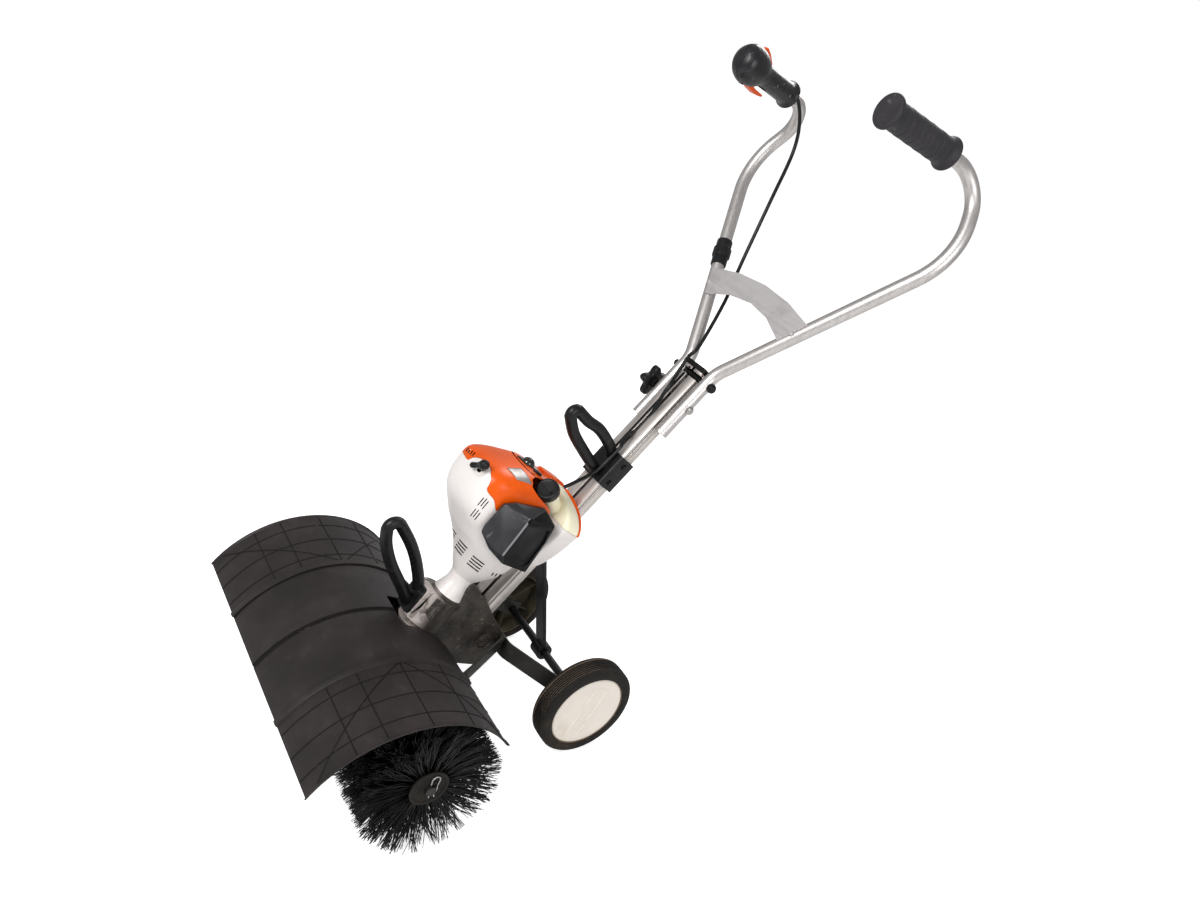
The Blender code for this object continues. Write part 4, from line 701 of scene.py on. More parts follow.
def tube_along(name, paths, radius, paint, body, stands_for=(), sides=6):
    """One round bar along each path. The curve is turned to mesh, so that it can be shaped on."""
    curve = bpy.data.curves.new(name, "CURVE")
    curve.dimensions = "3D"
    curve.bevel_depth = radius
    curve.bevel_resolution = sides
    curve.use_fill_caps = True
    for path in paths:
        line = curve.splines.new("POLY")
        line.points.add(len(path) - 1)
        for point, spot in zip(line.points, path):
            point.co = (*spot, 1)
    drawn = bpy.data.objects.new(name + "_line", curve)
    bpy.context.scene.collection.objects.link(drawn)
    mesh = bpy.data.meshes.new_from_object(drawn)
    bpy.data.objects.remove(drawn)
    bpy.data.curves.remove(curve)
    bm = bmesh.new()
    bm.from_mesh(mesh)
    bpy.data.meshes.remove(mesh)
    bmesh.ops.remove_doubles(bm, verts=bm.verts, dist=WELD)
    bmesh.ops.recalc_face_normals(bm, faces=bm.faces)
    return piece_from(bm, name, paint, body, stands_for, 50)


# %% Handle tubes
TUBE_R, TUBE_X = 0.0125, 0.0378
RAIL_Y = 0.0975  # how far the rail's middle line stands above the rail's place
LOW_END, LOW_BEND = 0.660, 0.8037  # how far up the rail the tubes begin and first bend
# the left tube's upper corners, before the machine was centred, and the radius of each bend
UPPER_BENDS = mm([(267.5, 741, 1048), (206.1, 802.8, 1169.3), (171.7, 567.2, 1231.3)])
BEND_R = [0.0564, 0.1258, 0.0607]


def of_rail(y, z, x=0.0):
    return RAIL @ Vector((x, y, z))


def lifted(points):
    """Points of the handle, given before the machine was centred over its origin."""
    return [SHIFT @ Vector(p) for p in points]


def handle_corners(side):
    low, bend = (of_rail(RAIL_Y, z, side * TUBE_X) for z in (LOW_END, LOW_BEND))
    return [low, bend, *lifted([(side * x, y, z) for x, y, z in UPPER_BENDS])]


for word, side in SIDES:
    tube = "handle_tube_" + word
    made = tube_along(tube + "_smooth", [rounded_path(handle_corners(side), BEND_R)], TUBE_R,
                      TUBE, "handle", (tube,), 8)
    print(made.name, len(made.data.polygons), "faces")

# %% [markdown]
# ## Lifting loops
# Two black loops of bar let a person lift the machine. The front one stands on the gear case and
# has a row of small holes down the inner side of its rear leg. The other is clamped round the rail.

# %% Boolean helper
def boolean(made, bm, place, paint, operation):
    """Cuts or joins at once, and keeps the tool's finish on the faces that it leaves."""
    tool = piece_from(bm, "tool", paint, None, smooth=None, place=place)
    bpy.context.view_layer.update()
    step = made.modifiers.new("shape", "BOOLEAN")
    step.operation = operation
    step.solver = "EXACT"
    step.material_mode = "TRANSFER"
    step.object = tool
    result = bpy.data.meshes.new_from_object(
        made.evaluated_get(bpy.context.evaluated_depsgraph_get()))
    made.modifiers.remove(step)
    old, tool_mesh = made.data, tool.data
    made.data = result
    result.name = made.name
    bpy.data.meshes.remove(old)
    bpy.data.objects.remove(tool)
    bpy.data.meshes.remove(tool_mesh)
    return made


def cut(made, bm, place=None, paint=None):
    return boolean(made, bm, place, paint, "DIFFERENCE")


def join(made, bm, place=None, paint=None):
    return boolean(made, bm, place, paint, "UNION")


def box_bm(low, high):
    bm = bmesh.new()
    bmesh.ops.create_cube(bm, size=1.0)
    low, high = Vector(low), Vector(high)
    bmesh.ops.scale(bm, vec=high - low, verts=bm.verts)
    bmesh.ops.translate(bm, vec=(low + high) / 2, verts=bm.verts)
    return bm


def rod_bm(radius, start, end, sides=32, radius_end=None):
    start, end = Vector(start), Vector(end)
    bm = bmesh.new()
    bmesh.ops.create_cone(bm, cap_ends=True, segments=sides, radius1=radius,
                          radius2=radius if radius_end is None else radius_end,
                          depth=(end - start).length,
                          matrix=Matrix.Translation((start + end) / 2) @ facing(end - start))
    return bm


def raised(bm, faces, way):
    """Draws the faces out along the given way, which closes a solid between the two."""
    out = bmesh.ops.extrude_face_region(bm, geom=faces)["geom"]
    verts = [v for v in out if isinstance(v, bmesh.types.BMVert)]
    bmesh.ops.translate(bm, vec=way, verts=verts)
    bmesh.ops.recalc_face_normals(bm, faces=bm.faces)
    return bm


def edges_along(bm, axis, least=0.001):
    """The edges whose two ends stand apart along an axis."""
    return [e for e in bm.edges if abs(e.verts[0].co[axis] - e.verts[1].co[axis]) > least]


def bevelled(bm, edges, width):
    bmesh.ops.bevel(bm, geom=edges, offset=width, segments=4, profile=0.5, affect="EDGES",
                    material=-1)
    return bm


# %% Front loop
FOOT = -0.058 - GAP
LOOP_R = 0.0105
# down the loop's rear leg, as Y and Z before the machine was centred
REAR_LEG = mm([(30, 397), (45, 365), (55, 336), (60, 318)])


def arc_yz(middle, radius, start, end, steps=8):
    angles = [math.radians(start + (end - start) * k / steps) for k in range(steps + 1)]
    return [(middle[0] + radius * math.cos(a), middle[1] + radius * math.sin(a)) for a in angles]


def before_shift(place, y, z):
    """A point of a leaning place, as Y and Z before the machine was centred."""
    spot = SHIFT.inverted() @ place @ Vector((0, y, z))
    return spot.y, spot.z


def upright_path(points, steps):
    """A smooth path in the machine's middle plane."""
    return smooth_path(lifted([(0, y, z) for y, z in points]), steps)


def front_loop():
    low_leg, high_leg = (before_shift(CASE, FOOT - 0.003, z) for z in (0.1495, 0.1800))
    line = upright_path([low_leg, (0.031, 0.305), (0.004, 0.355), (-0.012, 0.398),
                         *arc_yz((-0.003, 0.4265), 0.0125, 184, 27), *REAR_LEG, high_leg], 4)
    loop = tube_along("front_loop", [line], LOOP_R, BLACK, "chassis", ("front_loop_handle",))
    foot = box_bm((-0.020, FOOT - 0.006, 0.1355), (0.020, FOOT, 0.1905))
    join(loop, bevelled(foot, edges_along(foot, 1), 0.006), CASE)
    cut(loop, box_bm((-0.03, FOOT, 0.12), (0.03, 0.01, 0.21)), CASE)
    return resharpen(loop)


def leg_holes():
    """A row of holes that faces the middle of the loop, down the rear leg."""
    leg = upright_path([(0.018, 0.418), *REAR_LEG], 3)
    bm = bmesh.new()
    for before, spot, after in zip(leg, leg[1:], leg[2:]):
        out = Vector((1, 0, 0)).cross(after - before).normalized()
        way = (Vector((0.8, 0, 0)) - out * 0.6).normalized()
        place = Matrix.Translation(spot + way * (LOOP_R + GAP)) @ facing(way)
        bmesh.ops.create_cone(bm, cap_ends=True, segments=12, radius1=0.0022, radius2=0.0022,
                              depth=0.005, matrix=place)
    return bm


# near-black painted shade for the walls of the loop's holes; the filter cover's screw heads are
# drawn in the same near-black
PIT = material("hole_painted_shade", rgb(9, 9, 9), 0.8, dust=0.1, scuffs=0.0, bump=0.01)
FRONT_LOOP = front_loop()
FRONT_LOOP.data.materials.append(PIT)
# the holes' walls take the painted shade
resharpen(cut(FRONT_LOOP, leg_holes(), None, PIT))
print("front loop", len(FRONT_LOOP.data.polygons), "faces")


# %% Rear loop and its clamp
# half the rail's width, and how far its two broad faces stand from its place
RAIL_HALF, RAIL_UNDER, RAIL_OVER = 0.025, 0.0835, 0.1115


def rear_loop():
    low_leg, high_leg = (before_shift(RAIL, 0.0790, z) for z in (0.5312, 0.5735))
    line = upright_path([low_leg, (0.3553, 0.5307), (0.3280, 0.5600), (0.2983, 0.5947),
                         *arc_yz((0.2905, 0.6310), 0.0095, 200, 53), (0.3220, 0.6180),
                         (0.3519, 0.6002), (0.3829, 0.5680), high_leg], 4)
    loop = tube_along("rear_loop", [line], LOOP_R + GAP, BLACK, "chassis", ("rear_loop_handle",))
    clamp = box_bm((-0.031, RAIL_UNDER - 0.007, 0.519), (0.031, RAIL_OVER + 0.0055, 0.583))
    join(loop, bevelled(clamp, edges_along(clamp, 2), 0.005), RAIL)
    cut(loop, box_bm((-RAIL_HALF - GAP, RAIL_UNDER - GAP, 0.50),
                     (RAIL_HALF + GAP, RAIL_OVER + GAP, 0.60)), RAIL)
    for side in (-1, 1):
        for z in (0.532, 0.570):
            ends = ((side * x, RAIL_Y, z) for x in (0.0305, 0.0345))
            join(loop, rod_bm(0.0052, *ends, 24), RAIL)
    return resharpen(loop)


REAR_LOOP = rounded(rear_loop(), 0.0006, angle=40)
print("rear loop", len(REAR_LOOP.data.polygons), "faces")

# %% [markdown]
# ## The cover
# Four panels of thin plastic hang over the brush, bent to one arc. The two end panels lap over
# the middle ones with a raised lip. They carry a lattice of ribs: four straight ribs, three that
# follow the bend, and two diagonals.

# %% Cover panels
COVER_MIDDLE = Vector((0, -0.0365 + SHIFT_Y, 0.0655))
COVER_R, COVER_WALL = 0.200, 0.0025
COVER_FROM, COVER_TO = 36.0, 146.0
# the opening over the gear case, in both middle panels
NOTCH = (-0.0403, 0.028 + SHIFT_Y, 0.1), (0.0403, 0.2 + SHIFT_Y, 0.4)


def across(start, end, count=8):
    return [(start + (end - start) * k / count, 0.0) for k in range(count + 1)]


# a panel's section from the middle of the machine out: X, and how proud it stands there
CENTRE_PANEL = [(0.0015, 0.0), (0.0045, 0.0), *across(0.006, 0.130)]
END_PANEL = mm([(126.6, 3), (127.4, 3.6), (137, 3.6), (138.4, 2.9), (139.6, 0)])
END_PANEL += [*across(0.150, 0.2795), *mm([(281.5, 0.6), (283.8, 2.6), (285, 3)])]


def on_cover(x, degrees, out=0.0):
    a = math.radians(degrees)
    r = COVER_R + out
    return COVER_MIDDLE + Vector((x, r * math.cos(a), r * math.sin(a)))


def cover_panel(node, side, profile):
    bm = bmesh.new()
    line = [bm.verts.new(on_cover(side * x, COVER_FROM, out)) for x, out in profile]
    edges = [bm.edges.new(pair) for pair in zip(line, line[1:])]
    bmesh.ops.spin(bm, geom=line + edges, cent=COVER_MIDDLE, axis=(1, 0, 0),
                   angle=math.radians(COVER_TO - COVER_FROM), steps=66)
    bmesh.ops.recalc_face_normals(bm, faces=bm.faces)
    face = max(bm.faces, key=lambda f: f.calc_area())
    middle = face.calc_center_median() - COVER_MIDDLE
    if face.normal.dot(Vector((0, middle.y, middle.z))) < 0:
        bmesh.ops.reverse_faces(bm, faces=bm.faces)
    made = piece_from(bm, node + "_sheet", CHARCOAL, "chassis", (node,), 30)
    wall = made.modifiers.new("wall", "SOLIDIFY")
    wall.thickness = COVER_WALL
    wall.offset = -1
    wall.use_even_offset = True
    return resharpen(settled(made), 30)


for word, side in SIDES:
    sheet = cover_panel("cover_centre_" + word, side, CENTRE_PANEL)
    rounded(resharpen(cut(sheet, box_bm(*NOTCH)), 30), 0.0005, angle=50)
for word, side in SIDES:
    rounded(cover_panel("cover_end_" + word, side, END_PANEL), 0.0005, angle=50)
print("cover radius", COVER_R)


# %% Cover ribs
RIB_LOW, RIB_HIGH, CORNER_X = 0.1392, 0.2812, 0.2780
STRAIGHT_AT = (119.5, 105.5, 85.0, 63.5)
BENT_AT = (0.1600, 0.2085, 0.2530)


def rib(x0, a0, x1, a1, out=0.0, steps=28):
    return [on_cover(x0 + (x1 - x0) * k / steps, a0 + (a1 - a0) * k / steps, out)
            for k in range(steps + 1)]


def bent_rib(x, short, out=0.0, until=COVER_FROM):
    """A rib that follows the bend and stops short of the edges by some degrees."""
    return rib(x, COVER_TO - short, x, until + short, out)


def cover_ribs(side):
    lines = [rib(side * RIB_LOW, a, side * RIB_HIGH, a) for a in STRAIGHT_AT]
    lines += [bent_rib(side * x, 0.6) for x in BENT_AT]
    return lines + [rib(side * RIB_LOW, start, side * CORNER_X, end)
                    for start, end in ((86.0, 138.5), (83.0, 42.0))]


for word, side in SIDES:
    made = tube_along("cover_ribs_" + word, cover_ribs(side), 0.0011, RIB, "chassis", sides=1)
    print(made.name, len(made.data.polygons), "faces")
seam = [bent_rib(x, 0.4, 0.0004, 71.6) for x in (-0.0032, 0.0032)]
tube_along("cover_seam", seam, 0.0013, RIB, "chassis", sides=1)
laps = [bent_rib(x, 0.4, 0.0006) for x in (-0.1258, 0.1258)]
tube_along("cover_lap_lines", laps, 0.0014, RIB, "chassis", sides=1)

# %% [markdown]
# ## Turned parts
# Wheels, grips, caps and bosses are all turned shapes. A profile is drawn as a chain of points,
# distance from the axis first, and spun round it.

# %% Spinning a profile
def spun(profile, steps=64, ring=False):
    """A closed solid from a chain of (radius, height) points. A ring's chain closes on itself."""
    bm = bmesh.new()
    chain = [bm.verts.new((r, 0, z)) for r, z in profile]
    pairs = list(zip(chain, chain[1:]))
    if ring:
        pairs.append((chain[-1], chain[0]))
    edges = [bm.edges.new(pair) for pair in pairs]
    bmesh.ops.spin(bm, geom=chain + edges, cent=(0, 0, 0), axis=(0, 0, 1), angle=math.tau,
                   steps=steps, use_merge=True)
    bmesh.ops.remove_doubles(bm, verts=bm.verts, dist=WELD)
    bmesh.ops.recalc_face_normals(bm, faces=bm.faces)
    return bm


def eased(profile, radius=0.001, steps=3, closed=False):
    """The chain with each corner rounded, by no more than a third of its shorter side."""
    points = [Vector((*p, 0)) for p in profile]
    count = len(points)
    out = []
    for k, corner in enumerate(points):
        if not closed and k in (0, count - 1):
            out.append((corner.x, corner.y))
            continue
        before, after = points[k - 1], points[(k + 1) % count]
        a, b = before - corner, after - corner
        reach = min(radius, a.length / 3, b.length / 3)
        a, b = a.normalized() * reach, b.normalized() * reach
        for n in range(steps + 1):
            t = n / steps
            spot = corner + a * (1 - t)**2 + b * t**2
            out.append((spot.x, spot.y))
    return out


def along_x(side):
    """A turn that brings Z round to the given side of the machine."""
    return Matrix.Rotation(side * math.pi / 2, 4, "Y")

# %% Tyres and wheels
TYRE_IN, TYRE_OUT, RIM_R = 0.141, 0.186, 0.0757
TREAD_RIBS, CROWN_R, SHOULDER_R = 8, 0.0980, 0.0966
DISC_FACE, HUB_END, DISC_WEBS = TYRE_OUT - 0.002, 0.1335, 6
BEAD_LONG, BEAD_WIDE, BEAD_TURN = 0.055, 0.0150, 22


def tread_profile():
    """Sidewall, shoulder and eight ribs with narrow grooves between them."""
    chain = [(RIM_R, TYRE_IN + 0.0015), (0.080, TYRE_IN + 0.0003), (0.090, TYRE_IN + 0.0004),
             (0.0945, TYRE_IN + 0.0022), (SHOULDER_R, TYRE_IN + 0.0052)]
    low, high = TYRE_IN + 0.0062, TYRE_OUT - 0.0062
    pitch = (high - low) / TREAD_RIBS
    for k in range(TREAD_RIBS):
        start = low + pitch * k
        crown = CROWN_R - 0.0007 * abs(2 * (k + 0.5) / TREAD_RIBS - 1)**2
        chain += [(crown, start + 0.0009), (crown, start + pitch - 0.0014)]
        if k < TREAD_RIBS - 1:
            chain += [(crown - 0.0020, start + pitch - 0.0011),
                      (crown - 0.0020, start + pitch + 0.0005)]
    return chain + [(SHOULDER_R, TYRE_OUT - 0.0052), (0.0945, TYRE_OUT - 0.0022),
                    (0.0895, TYRE_OUT - 0.0004), (0.0800, TYRE_OUT - 0.0001),
                    (0.0776, TYRE_OUT - 0.0007), (RIM_R, TYRE_OUT - 0.0020)]


def tyre_piece(side, word):
    made = piece_from(spun(tread_profile(), 96, ring=True), "tyre_tread_" + word, TYRE,
                      "road_wheel_" + word, ("tyre_" + word,), 40, AXLE @ along_x(side))
    made.data.materials.append(TREAD)
    hub = AXLE.translation
    for polygon in made.data.polygons:
        reach = (polygon.center - hub).yz.length
        if reach < SHOULDER_R and TYRE_IN + 0.008 < abs(polygon.center.x) < TYRE_OUT - 0.008:
            polygon.material_index = 1
    return made


def wheel_centre(side, word):
    place = AXLE @ along_x(side)
    rim = RIM_R - GAP
    chain = [(0, DISC_FACE - 0.0006), (0.055, DISC_FACE - 0.0006), (0.0585, DISC_FACE),
             (rim - 0.003, DISC_FACE), (rim, DISC_FACE - 0.003), (rim, TYRE_IN + 0.002),
             (rim - 0.003, TYRE_IN + 0.002), (rim - 0.004, DISC_FACE - 0.007),
             (0.0195, DISC_FACE - 0.008), (0.018, HUB_END + 0.002), (0.017, HUB_END),
             (0.0083, HUB_END), (0.0083, 0.1785), (0, 0.1785)]
    made = piece_from(spun(eased(chain, 0.0012, 3), 96), "wheel_centre_" + word, DISC,
                      "road_wheel_" + word, ("wheel_" + word,), place=place)
    for k in range(DISC_WEBS):
        web = box_bm((0.0165, -0.0013, DISC_FACE - 0.030), (rim - 0.002, 0.0013, DISC_FACE - 0.005))
        join(made, web, place @ Matrix.Rotation(math.tau * k / DISC_WEBS, 4, "Z"))
    resharpen(made)
    # faces away from the disc's outer face are drawn darker
    made.data.materials.append(WHEEL_INSIDE_DARKER)
    for polygon in made.data.polygons:
        if abs(polygon.center.x) < DISC_FACE - 0.0035:
            polygon.material_index = len(made.data.materials) - 1
    return made


def wheel_bead(side, word):
    """A raised frame with round corners on the wheel's face."""
    corners = [(0, y * BEAD_WIDE, z * BEAD_LONG) for y, z in
               ((-1, 0), (-1, 1), (1, 1), (1, -1), (-1, -1), (-1, 0))]
    place = (AXLE @ Matrix.Rotation(math.radians(side * -BEAD_TURN), 4, "X")
             @ Matrix.Translation((side * (DISC_FACE - 0.0002), 0, 0)))
    bead = [place @ spot for spot in rounded_path(corners, [0.003] * 4, 6)]
    tube_along("wheel_bead_" + word, [bead], 0.0011, DISC, "road_wheel_" + word, sides=3)


for word, side in SIDES:
    tyre, centre = tyre_piece(side, word), wheel_centre(side, word)
    wheel_bead(side, word)
    print(tyre.name, len(tyre.data.polygons), centre.name, len(centre.data.polygons))

# %% [markdown]
# ## The brush
# A real brush has some thousands of stiff nylon strands in bundles. One strand is a three-sided
# cone cut into lengths. It is doubled until there are 8192 of it, and every copy is then bent and
# set in its own place, so that the strands of a bundle draw together towards the tip.

# %% Brush strands
STRANDS, CUTS = 8192, 3
ROWS, ROUND = 26, 24  # bundles along one half of the brush, and round it
FIRST_X, LAST_X = 0.0430, 0.2735
ROOT_R, MIDDLE_R, TIP_R = 0.026, 0.074, 0.1240
THICK, LOWEST = 0.00105, 0.0006


def one_strand():
    bm = bmesh.new()
    bmesh.ops.create_cone(bm, cap_ends=True, segments=3, radius1=1.0, radius2=0.55, depth=1.0)
    bmesh.ops.translate(bm, vec=(0, 0, 0.5), verts=bm.verts)
    bmesh.ops.subdivide_edges(bm, edges=edges_along(bm, 2, 0.5), cuts=CUTS - 1,
                              use_grid_fill=True)
    mesh = bpy.data.meshes.new("strand")
    bm.to_mesh(mesh)
    bm.free()
    return mesh


def many(mesh, count):
    """The mesh, doubled until there are count copies of it."""
    while count > 1:
        bm = bmesh.new()
        bm.from_mesh(mesh)
        bm.from_mesh(mesh)
        bm.to_mesh(mesh)
        bm.free()
        count //= 2
    return mesh


def on_ring(x, radius, angle):
    """One point for each x, at a distance and an angle from the brush's axis."""
    return np.stack([x, radius * np.cos(angle), radius * np.sin(angle)], 1)


def strand_lines(draw):
    """Each strand's root, middle and tip, its bundle's angle and its thickness."""
    tuft = np.arange(STRANDS) % (ROWS * ROUND)
    row, k = tuft // ROUND, tuft % ROUND
    x = FIRST_X + (LAST_X - FIRST_X) * row / (ROWS - 1)
    angle = math.tau * (k + 0.5 * (row % 2)) / ROUND
    # what a whole bundle does, and what each strand adds to it
    shift = draw.normal(0, 1, (ROWS * ROUND, 4))[tuft]
    own = draw.normal(0, 1, (STRANDS, 6))
    outward = (x / 0.28)**3
    tip_x = np.clip(x + 0.024 * outward + 0.0030 * shift[:, 1] + 0.0040 * own[:, 1],
                    0.0345, 0.2990)
    tip_r = TIP_R - 0.0045 * np.abs(shift[:, 2]) - 0.0040 * np.abs(own[:, 2])
    root_x = x + 0.0016 * own[:, 3]
    root = on_ring(root_x, ROOT_R, angle + 0.05 * own[:, 4])
    middle = on_ring(0.5 * (root_x + tip_x) + 0.0022 * own[:, 2] - 0.004 * outward, MIDDLE_R,
                     angle + 0.020 * shift[:, 3] + 0.062 * own[:, 5])
    tip = on_ring(tip_x, tip_r, angle + 0.045 * shift[:, 0] + 0.050 * own[:, 0])
    return root, middle, tip, angle, THICK + 0.00015 * own[:, 3]


def set_strands(side, word, seed):
    mesh = one_strand()
    each = len(mesh.vertices)
    mesh = many(mesh, STRANDS)
    shape = np.empty(len(mesh.vertices) * 3)
    mesh.vertices.foreach_get("co", shape)
    shape = shape.reshape(STRANDS, each, 3)
    root, middle, tip, angle, thick = strand_lines(np.random.default_rng(seed))
    t = shape[:, :, 2:3]
    bow = middle * 2 - (root + tip) * 0.5
    line = root[:, None] * (1 - t)**2 + 2 * bow[:, None] * t * (1 - t) + tip[:, None] * t**2
    across_x = np.array([1.0, 0.0, 0.0])
    round_way = np.stack([np.zeros(STRANDS), -np.sin(angle), np.cos(angle)], 1)[:, None]
    spots = line + thick[:, None, None] * (shape[:, :, 0:1] * across_x
                                           + shape[:, :, 1:2] * round_way)
    spots[:, :, 0] *= side
    spots += np.array(BRUSH_AT)
    spots[:, :, 2] = np.maximum(spots[:, :, 2], LOWEST)
    mesh.vertices.foreach_set("co", spots.reshape(-1))
    bm = bmesh.new()
    bm.from_mesh(mesh)
    bpy.data.meshes.remove(mesh)
    if side > 0:
        bmesh.ops.reverse_faces(bm, faces=bm.faces)
    made = piece_from(bm, "brush_strands_" + word, STRAND, "brush", ("bristles_" + word,), 0)
    made.data.shade_smooth()
    return made


def sleeve(side, word):
    chain = mm([(9.3, 36.6), (27.5, 36.6), (27.5, 277), (34, 277.5), (34, 281.2), (29, 281.5),
                (27.5, 279), (16.5, 279), (15, 281.5), (9.3, 281.5)])
    return piece_from(spun(eased(chain, 0.0008, 2, True), 48, ring=True), "brush_sleeve_" + word,
                      TYRE, "brush", place=BRUSH @ along_x(side))


for (word, side), seed in zip(SIDES, (11, 12)):
    made = set_strands(side, word, seed)
    sleeve(side, word)
    print(made.name, len(made.data.polygons), "faces")

# %% Spring clips through the shaft ends
CLIP_X = 0.2835
CLIP = mm([(0, -16), (0, 17), (1.5, 22.5), (7, 26.2), (12.2, 23.5), (13.8, 18), (12.2, 11),
           (11.3, 6), (11.9, 0), (10.3, -6.5), (7.8, -11.2), (10, -17)])
for word, side in SIDES:
    path = smooth_path([BRUSH @ Vector((side * CLIP_X, y, z)) for y, z in CLIP], 4)
    tube_along("wire_clip_" + word, [path], 0.0012, STEEL, "brush", ("spring_clip_" + word,), 3)
print("wire clips of", len(CLIP), "points")

# %% [markdown]
# ## Grips and controls
# The left grip is a rubber sleeve with a flange at each end. The right one is a moulded handle
# with a bulb at its tip, which holds the trigger under the fingers and the lock lever on top.

# %% Left grip
GRIP_BANDS, BAND_FROM, BAND_PITCH = 9, 0.022, 0.0125


def left_grip():
    """A flange at each end, and bands that are ribbed and plain by turns."""
    chain = mm([(0, -4), (22.5, -4), (27.5, -3), (28.5, 0.5), (27.8, 3.5), (24.5, 7.5), (22.6, 12)])
    for k in range(GRIP_BANDS):
        z, r = BAND_FROM + BAND_PITCH * k, 0.0229 + 0.0004 * (k % 2)
        chain += [(r, z), (r, z + 0.0105), (0.0224, z + 0.0112), (0.0224, z + 0.0118)]
    chain += mm([(23.6, 139), (26.8, 144), (28.5, 146.5), (28.2, 149.5), (21.5, 150), (12.8, 150)])
    chain += [(0.0128, -GAP), (0, -GAP)]
    return piece_from(spun(eased(chain, 0.0009, 2)), "rubber_grip", RUBBER, "handle",
                      ("handle_grip",), place=GRIP_LEFT)


print(left_grip().name)


# %% Throttle handle
# the handle's outline, with the bulb first, and the two slots that the levers stand in
HANDLE_CHAIN = mm([
    (0, -13), (8, -12.7), (17, -10.5), (24.8, -5.5), (30.5, 2), (33.8, 11), (35, 20), (34.2, 29),
    (31.2, 38.5), (26.2, 47.5), (22.2, 54.5), (20.8, 62), (20.5, 80), (20.5, 100), (20.5, 120),
    (20.8, 140), (23.2, 145.5), (25.6, 149), (25.6, 152), (12.8, 152)])
HANDLE_CHAIN += [(0.0128, -GAP), (0, -GAP)]
LEVER_SLOTS = [((-0.0063, 0.0140, 0.0140), (0.0063, 0.0450, 0.0820)),
               ((-0.0053, -0.0500, 0.0220), (0.0053, -0.0140, 0.0690))]
# how far along the handle each screw stands, and the radius of its head
HANDLE_SCREWS = [(0.1350, 0.0030), (0.0900, 0.0024)]
# the two halves of the handle meet in a fine line over the bulb
SEAM = mm([(-12.8, 2), (-10.5, 17), (-5.5, 24.8), (2, 30.5), (11, 33.8)])
BULB_Z, BULB_LONG, BULB_FLAT = 0.020, 0.030, 0.16


def throttle_handle():
    bm = spun(eased(HANDLE_CHAIN, 0.0012, 2))
    for vert in bm.verts:
        # the bulb is deeper from top to bottom than from side to side
        if vert.co.xy.length > 0.0130:
            vert.co.x *= 1 - BULB_FLAT * math.exp(-((vert.co.z - BULB_Z) / BULB_LONG)**2)
    made = piece_from(bm, "throttle_handle", HEAD, "handle", ("throttle_housing",),
                      place=GRIP_RIGHT)
    for corners in LEVER_SLOTS:
        cut(made, box_bm(*corners), GRIP_RIGHT, BLACK)
    for z, r in HANDLE_SCREWS:
        well = rod_bm(r + 0.0004, (0.0175, 0.004, z), (0.030, 0.004, z), 24)
        cut(made, well, GRIP_RIGHT, BLACK)
    made.data.materials.append(BLACK)
    return rounded(resharpen(made), 0.0005, angle=40)


def screw_head(name, paint, body, place, radius, tall, deep, socket, ease):
    """A head with a round socket in it, whose Z points to the machine's left."""
    inner = radius * socket
    chain = [(0, 0), (radius, 0), (radius, tall), (inner, tall), (inner, deep), (0, deep)]
    return piece_from(spun(eased(chain, ease, 2), 24), name, paint, body,
                      place=place @ along_x(1))


THROTTLE = throttle_handle()
for z, r in HANDLE_SCREWS:
    screw_head(f"throttle_screw_{int(z * 1000)}", STEEL, "handle",
               GRIP_RIGHT @ Matrix.Translation((0.0178, 0.004, z)), r, 0.0012, 0.0006, 0.4, 0.0003)
seams = [smooth_path([GRIP_RIGHT @ Vector((0, sign * r, z)) for z, r in SEAM], 4)
         for sign in (-1, 1)]
tube_along("throttle_seam", seams, 0.0004, BLACK, "handle", sides=1)
print(THROTTLE.name, len(THROTTLE.data.polygons), "faces")


# %% Star knob on the clamp bolt
KNOB_X = TUBE_X + TUBE_R + GAP
KNOB_R, KNOB_LOBE, KNOB_TALL = 0.0250, 0.0056, 0.015


def star_knob():
    bm = bmesh.new()
    bmesh.ops.create_circle(bm, cap_ends=True, segments=80, radius=KNOB_R)
    for vert in bm.verts:
        a = math.atan2(vert.co.y, vert.co.x)
        vert.co.xy *= 1 + KNOB_LOBE * math.cos(5 * a) / KNOB_R
    raised(bm, bm.faces[:], (0, 0, KNOB_TALL))
    rims = [e for e in bm.edges if abs(e.verts[0].co.z - e.verts[1].co.z) < WELD
            and len(e.link_faces) == 2 and abs(e.calc_face_angle(0)) > 1]
    place = PIVOT @ Matrix.Translation((-KNOB_X - 0.009, 0, 0)) @ along_x(-1)
    made = piece_from(bevelled(bm, rims, 0.003), "star_grip_knob", BLACK, "knob", ("star_knob",),
                      place=place)
    # a boss behind it, a dish in its face and a bore for the bolt
    join(made, rod_bm(0.0105, (-KNOB_X, 0, 0), (-KNOB_X - 0.011, 0, 0), 48), PIVOT)
    dish = rod_bm(0.0085, (-KNOB_X - 0.0228, 0, 0), (-KNOB_X - 0.026, 0, 0), 40, 0.0115)
    cut(made, dish, PIVOT)
    cut(made, rod_bm(0.0043, (-KNOB_X + 0.002, 0, 0), (-KNOB_X - 0.016, 0, 0), 24), PIVOT)
    return resharpen(made)


print(star_knob().name)
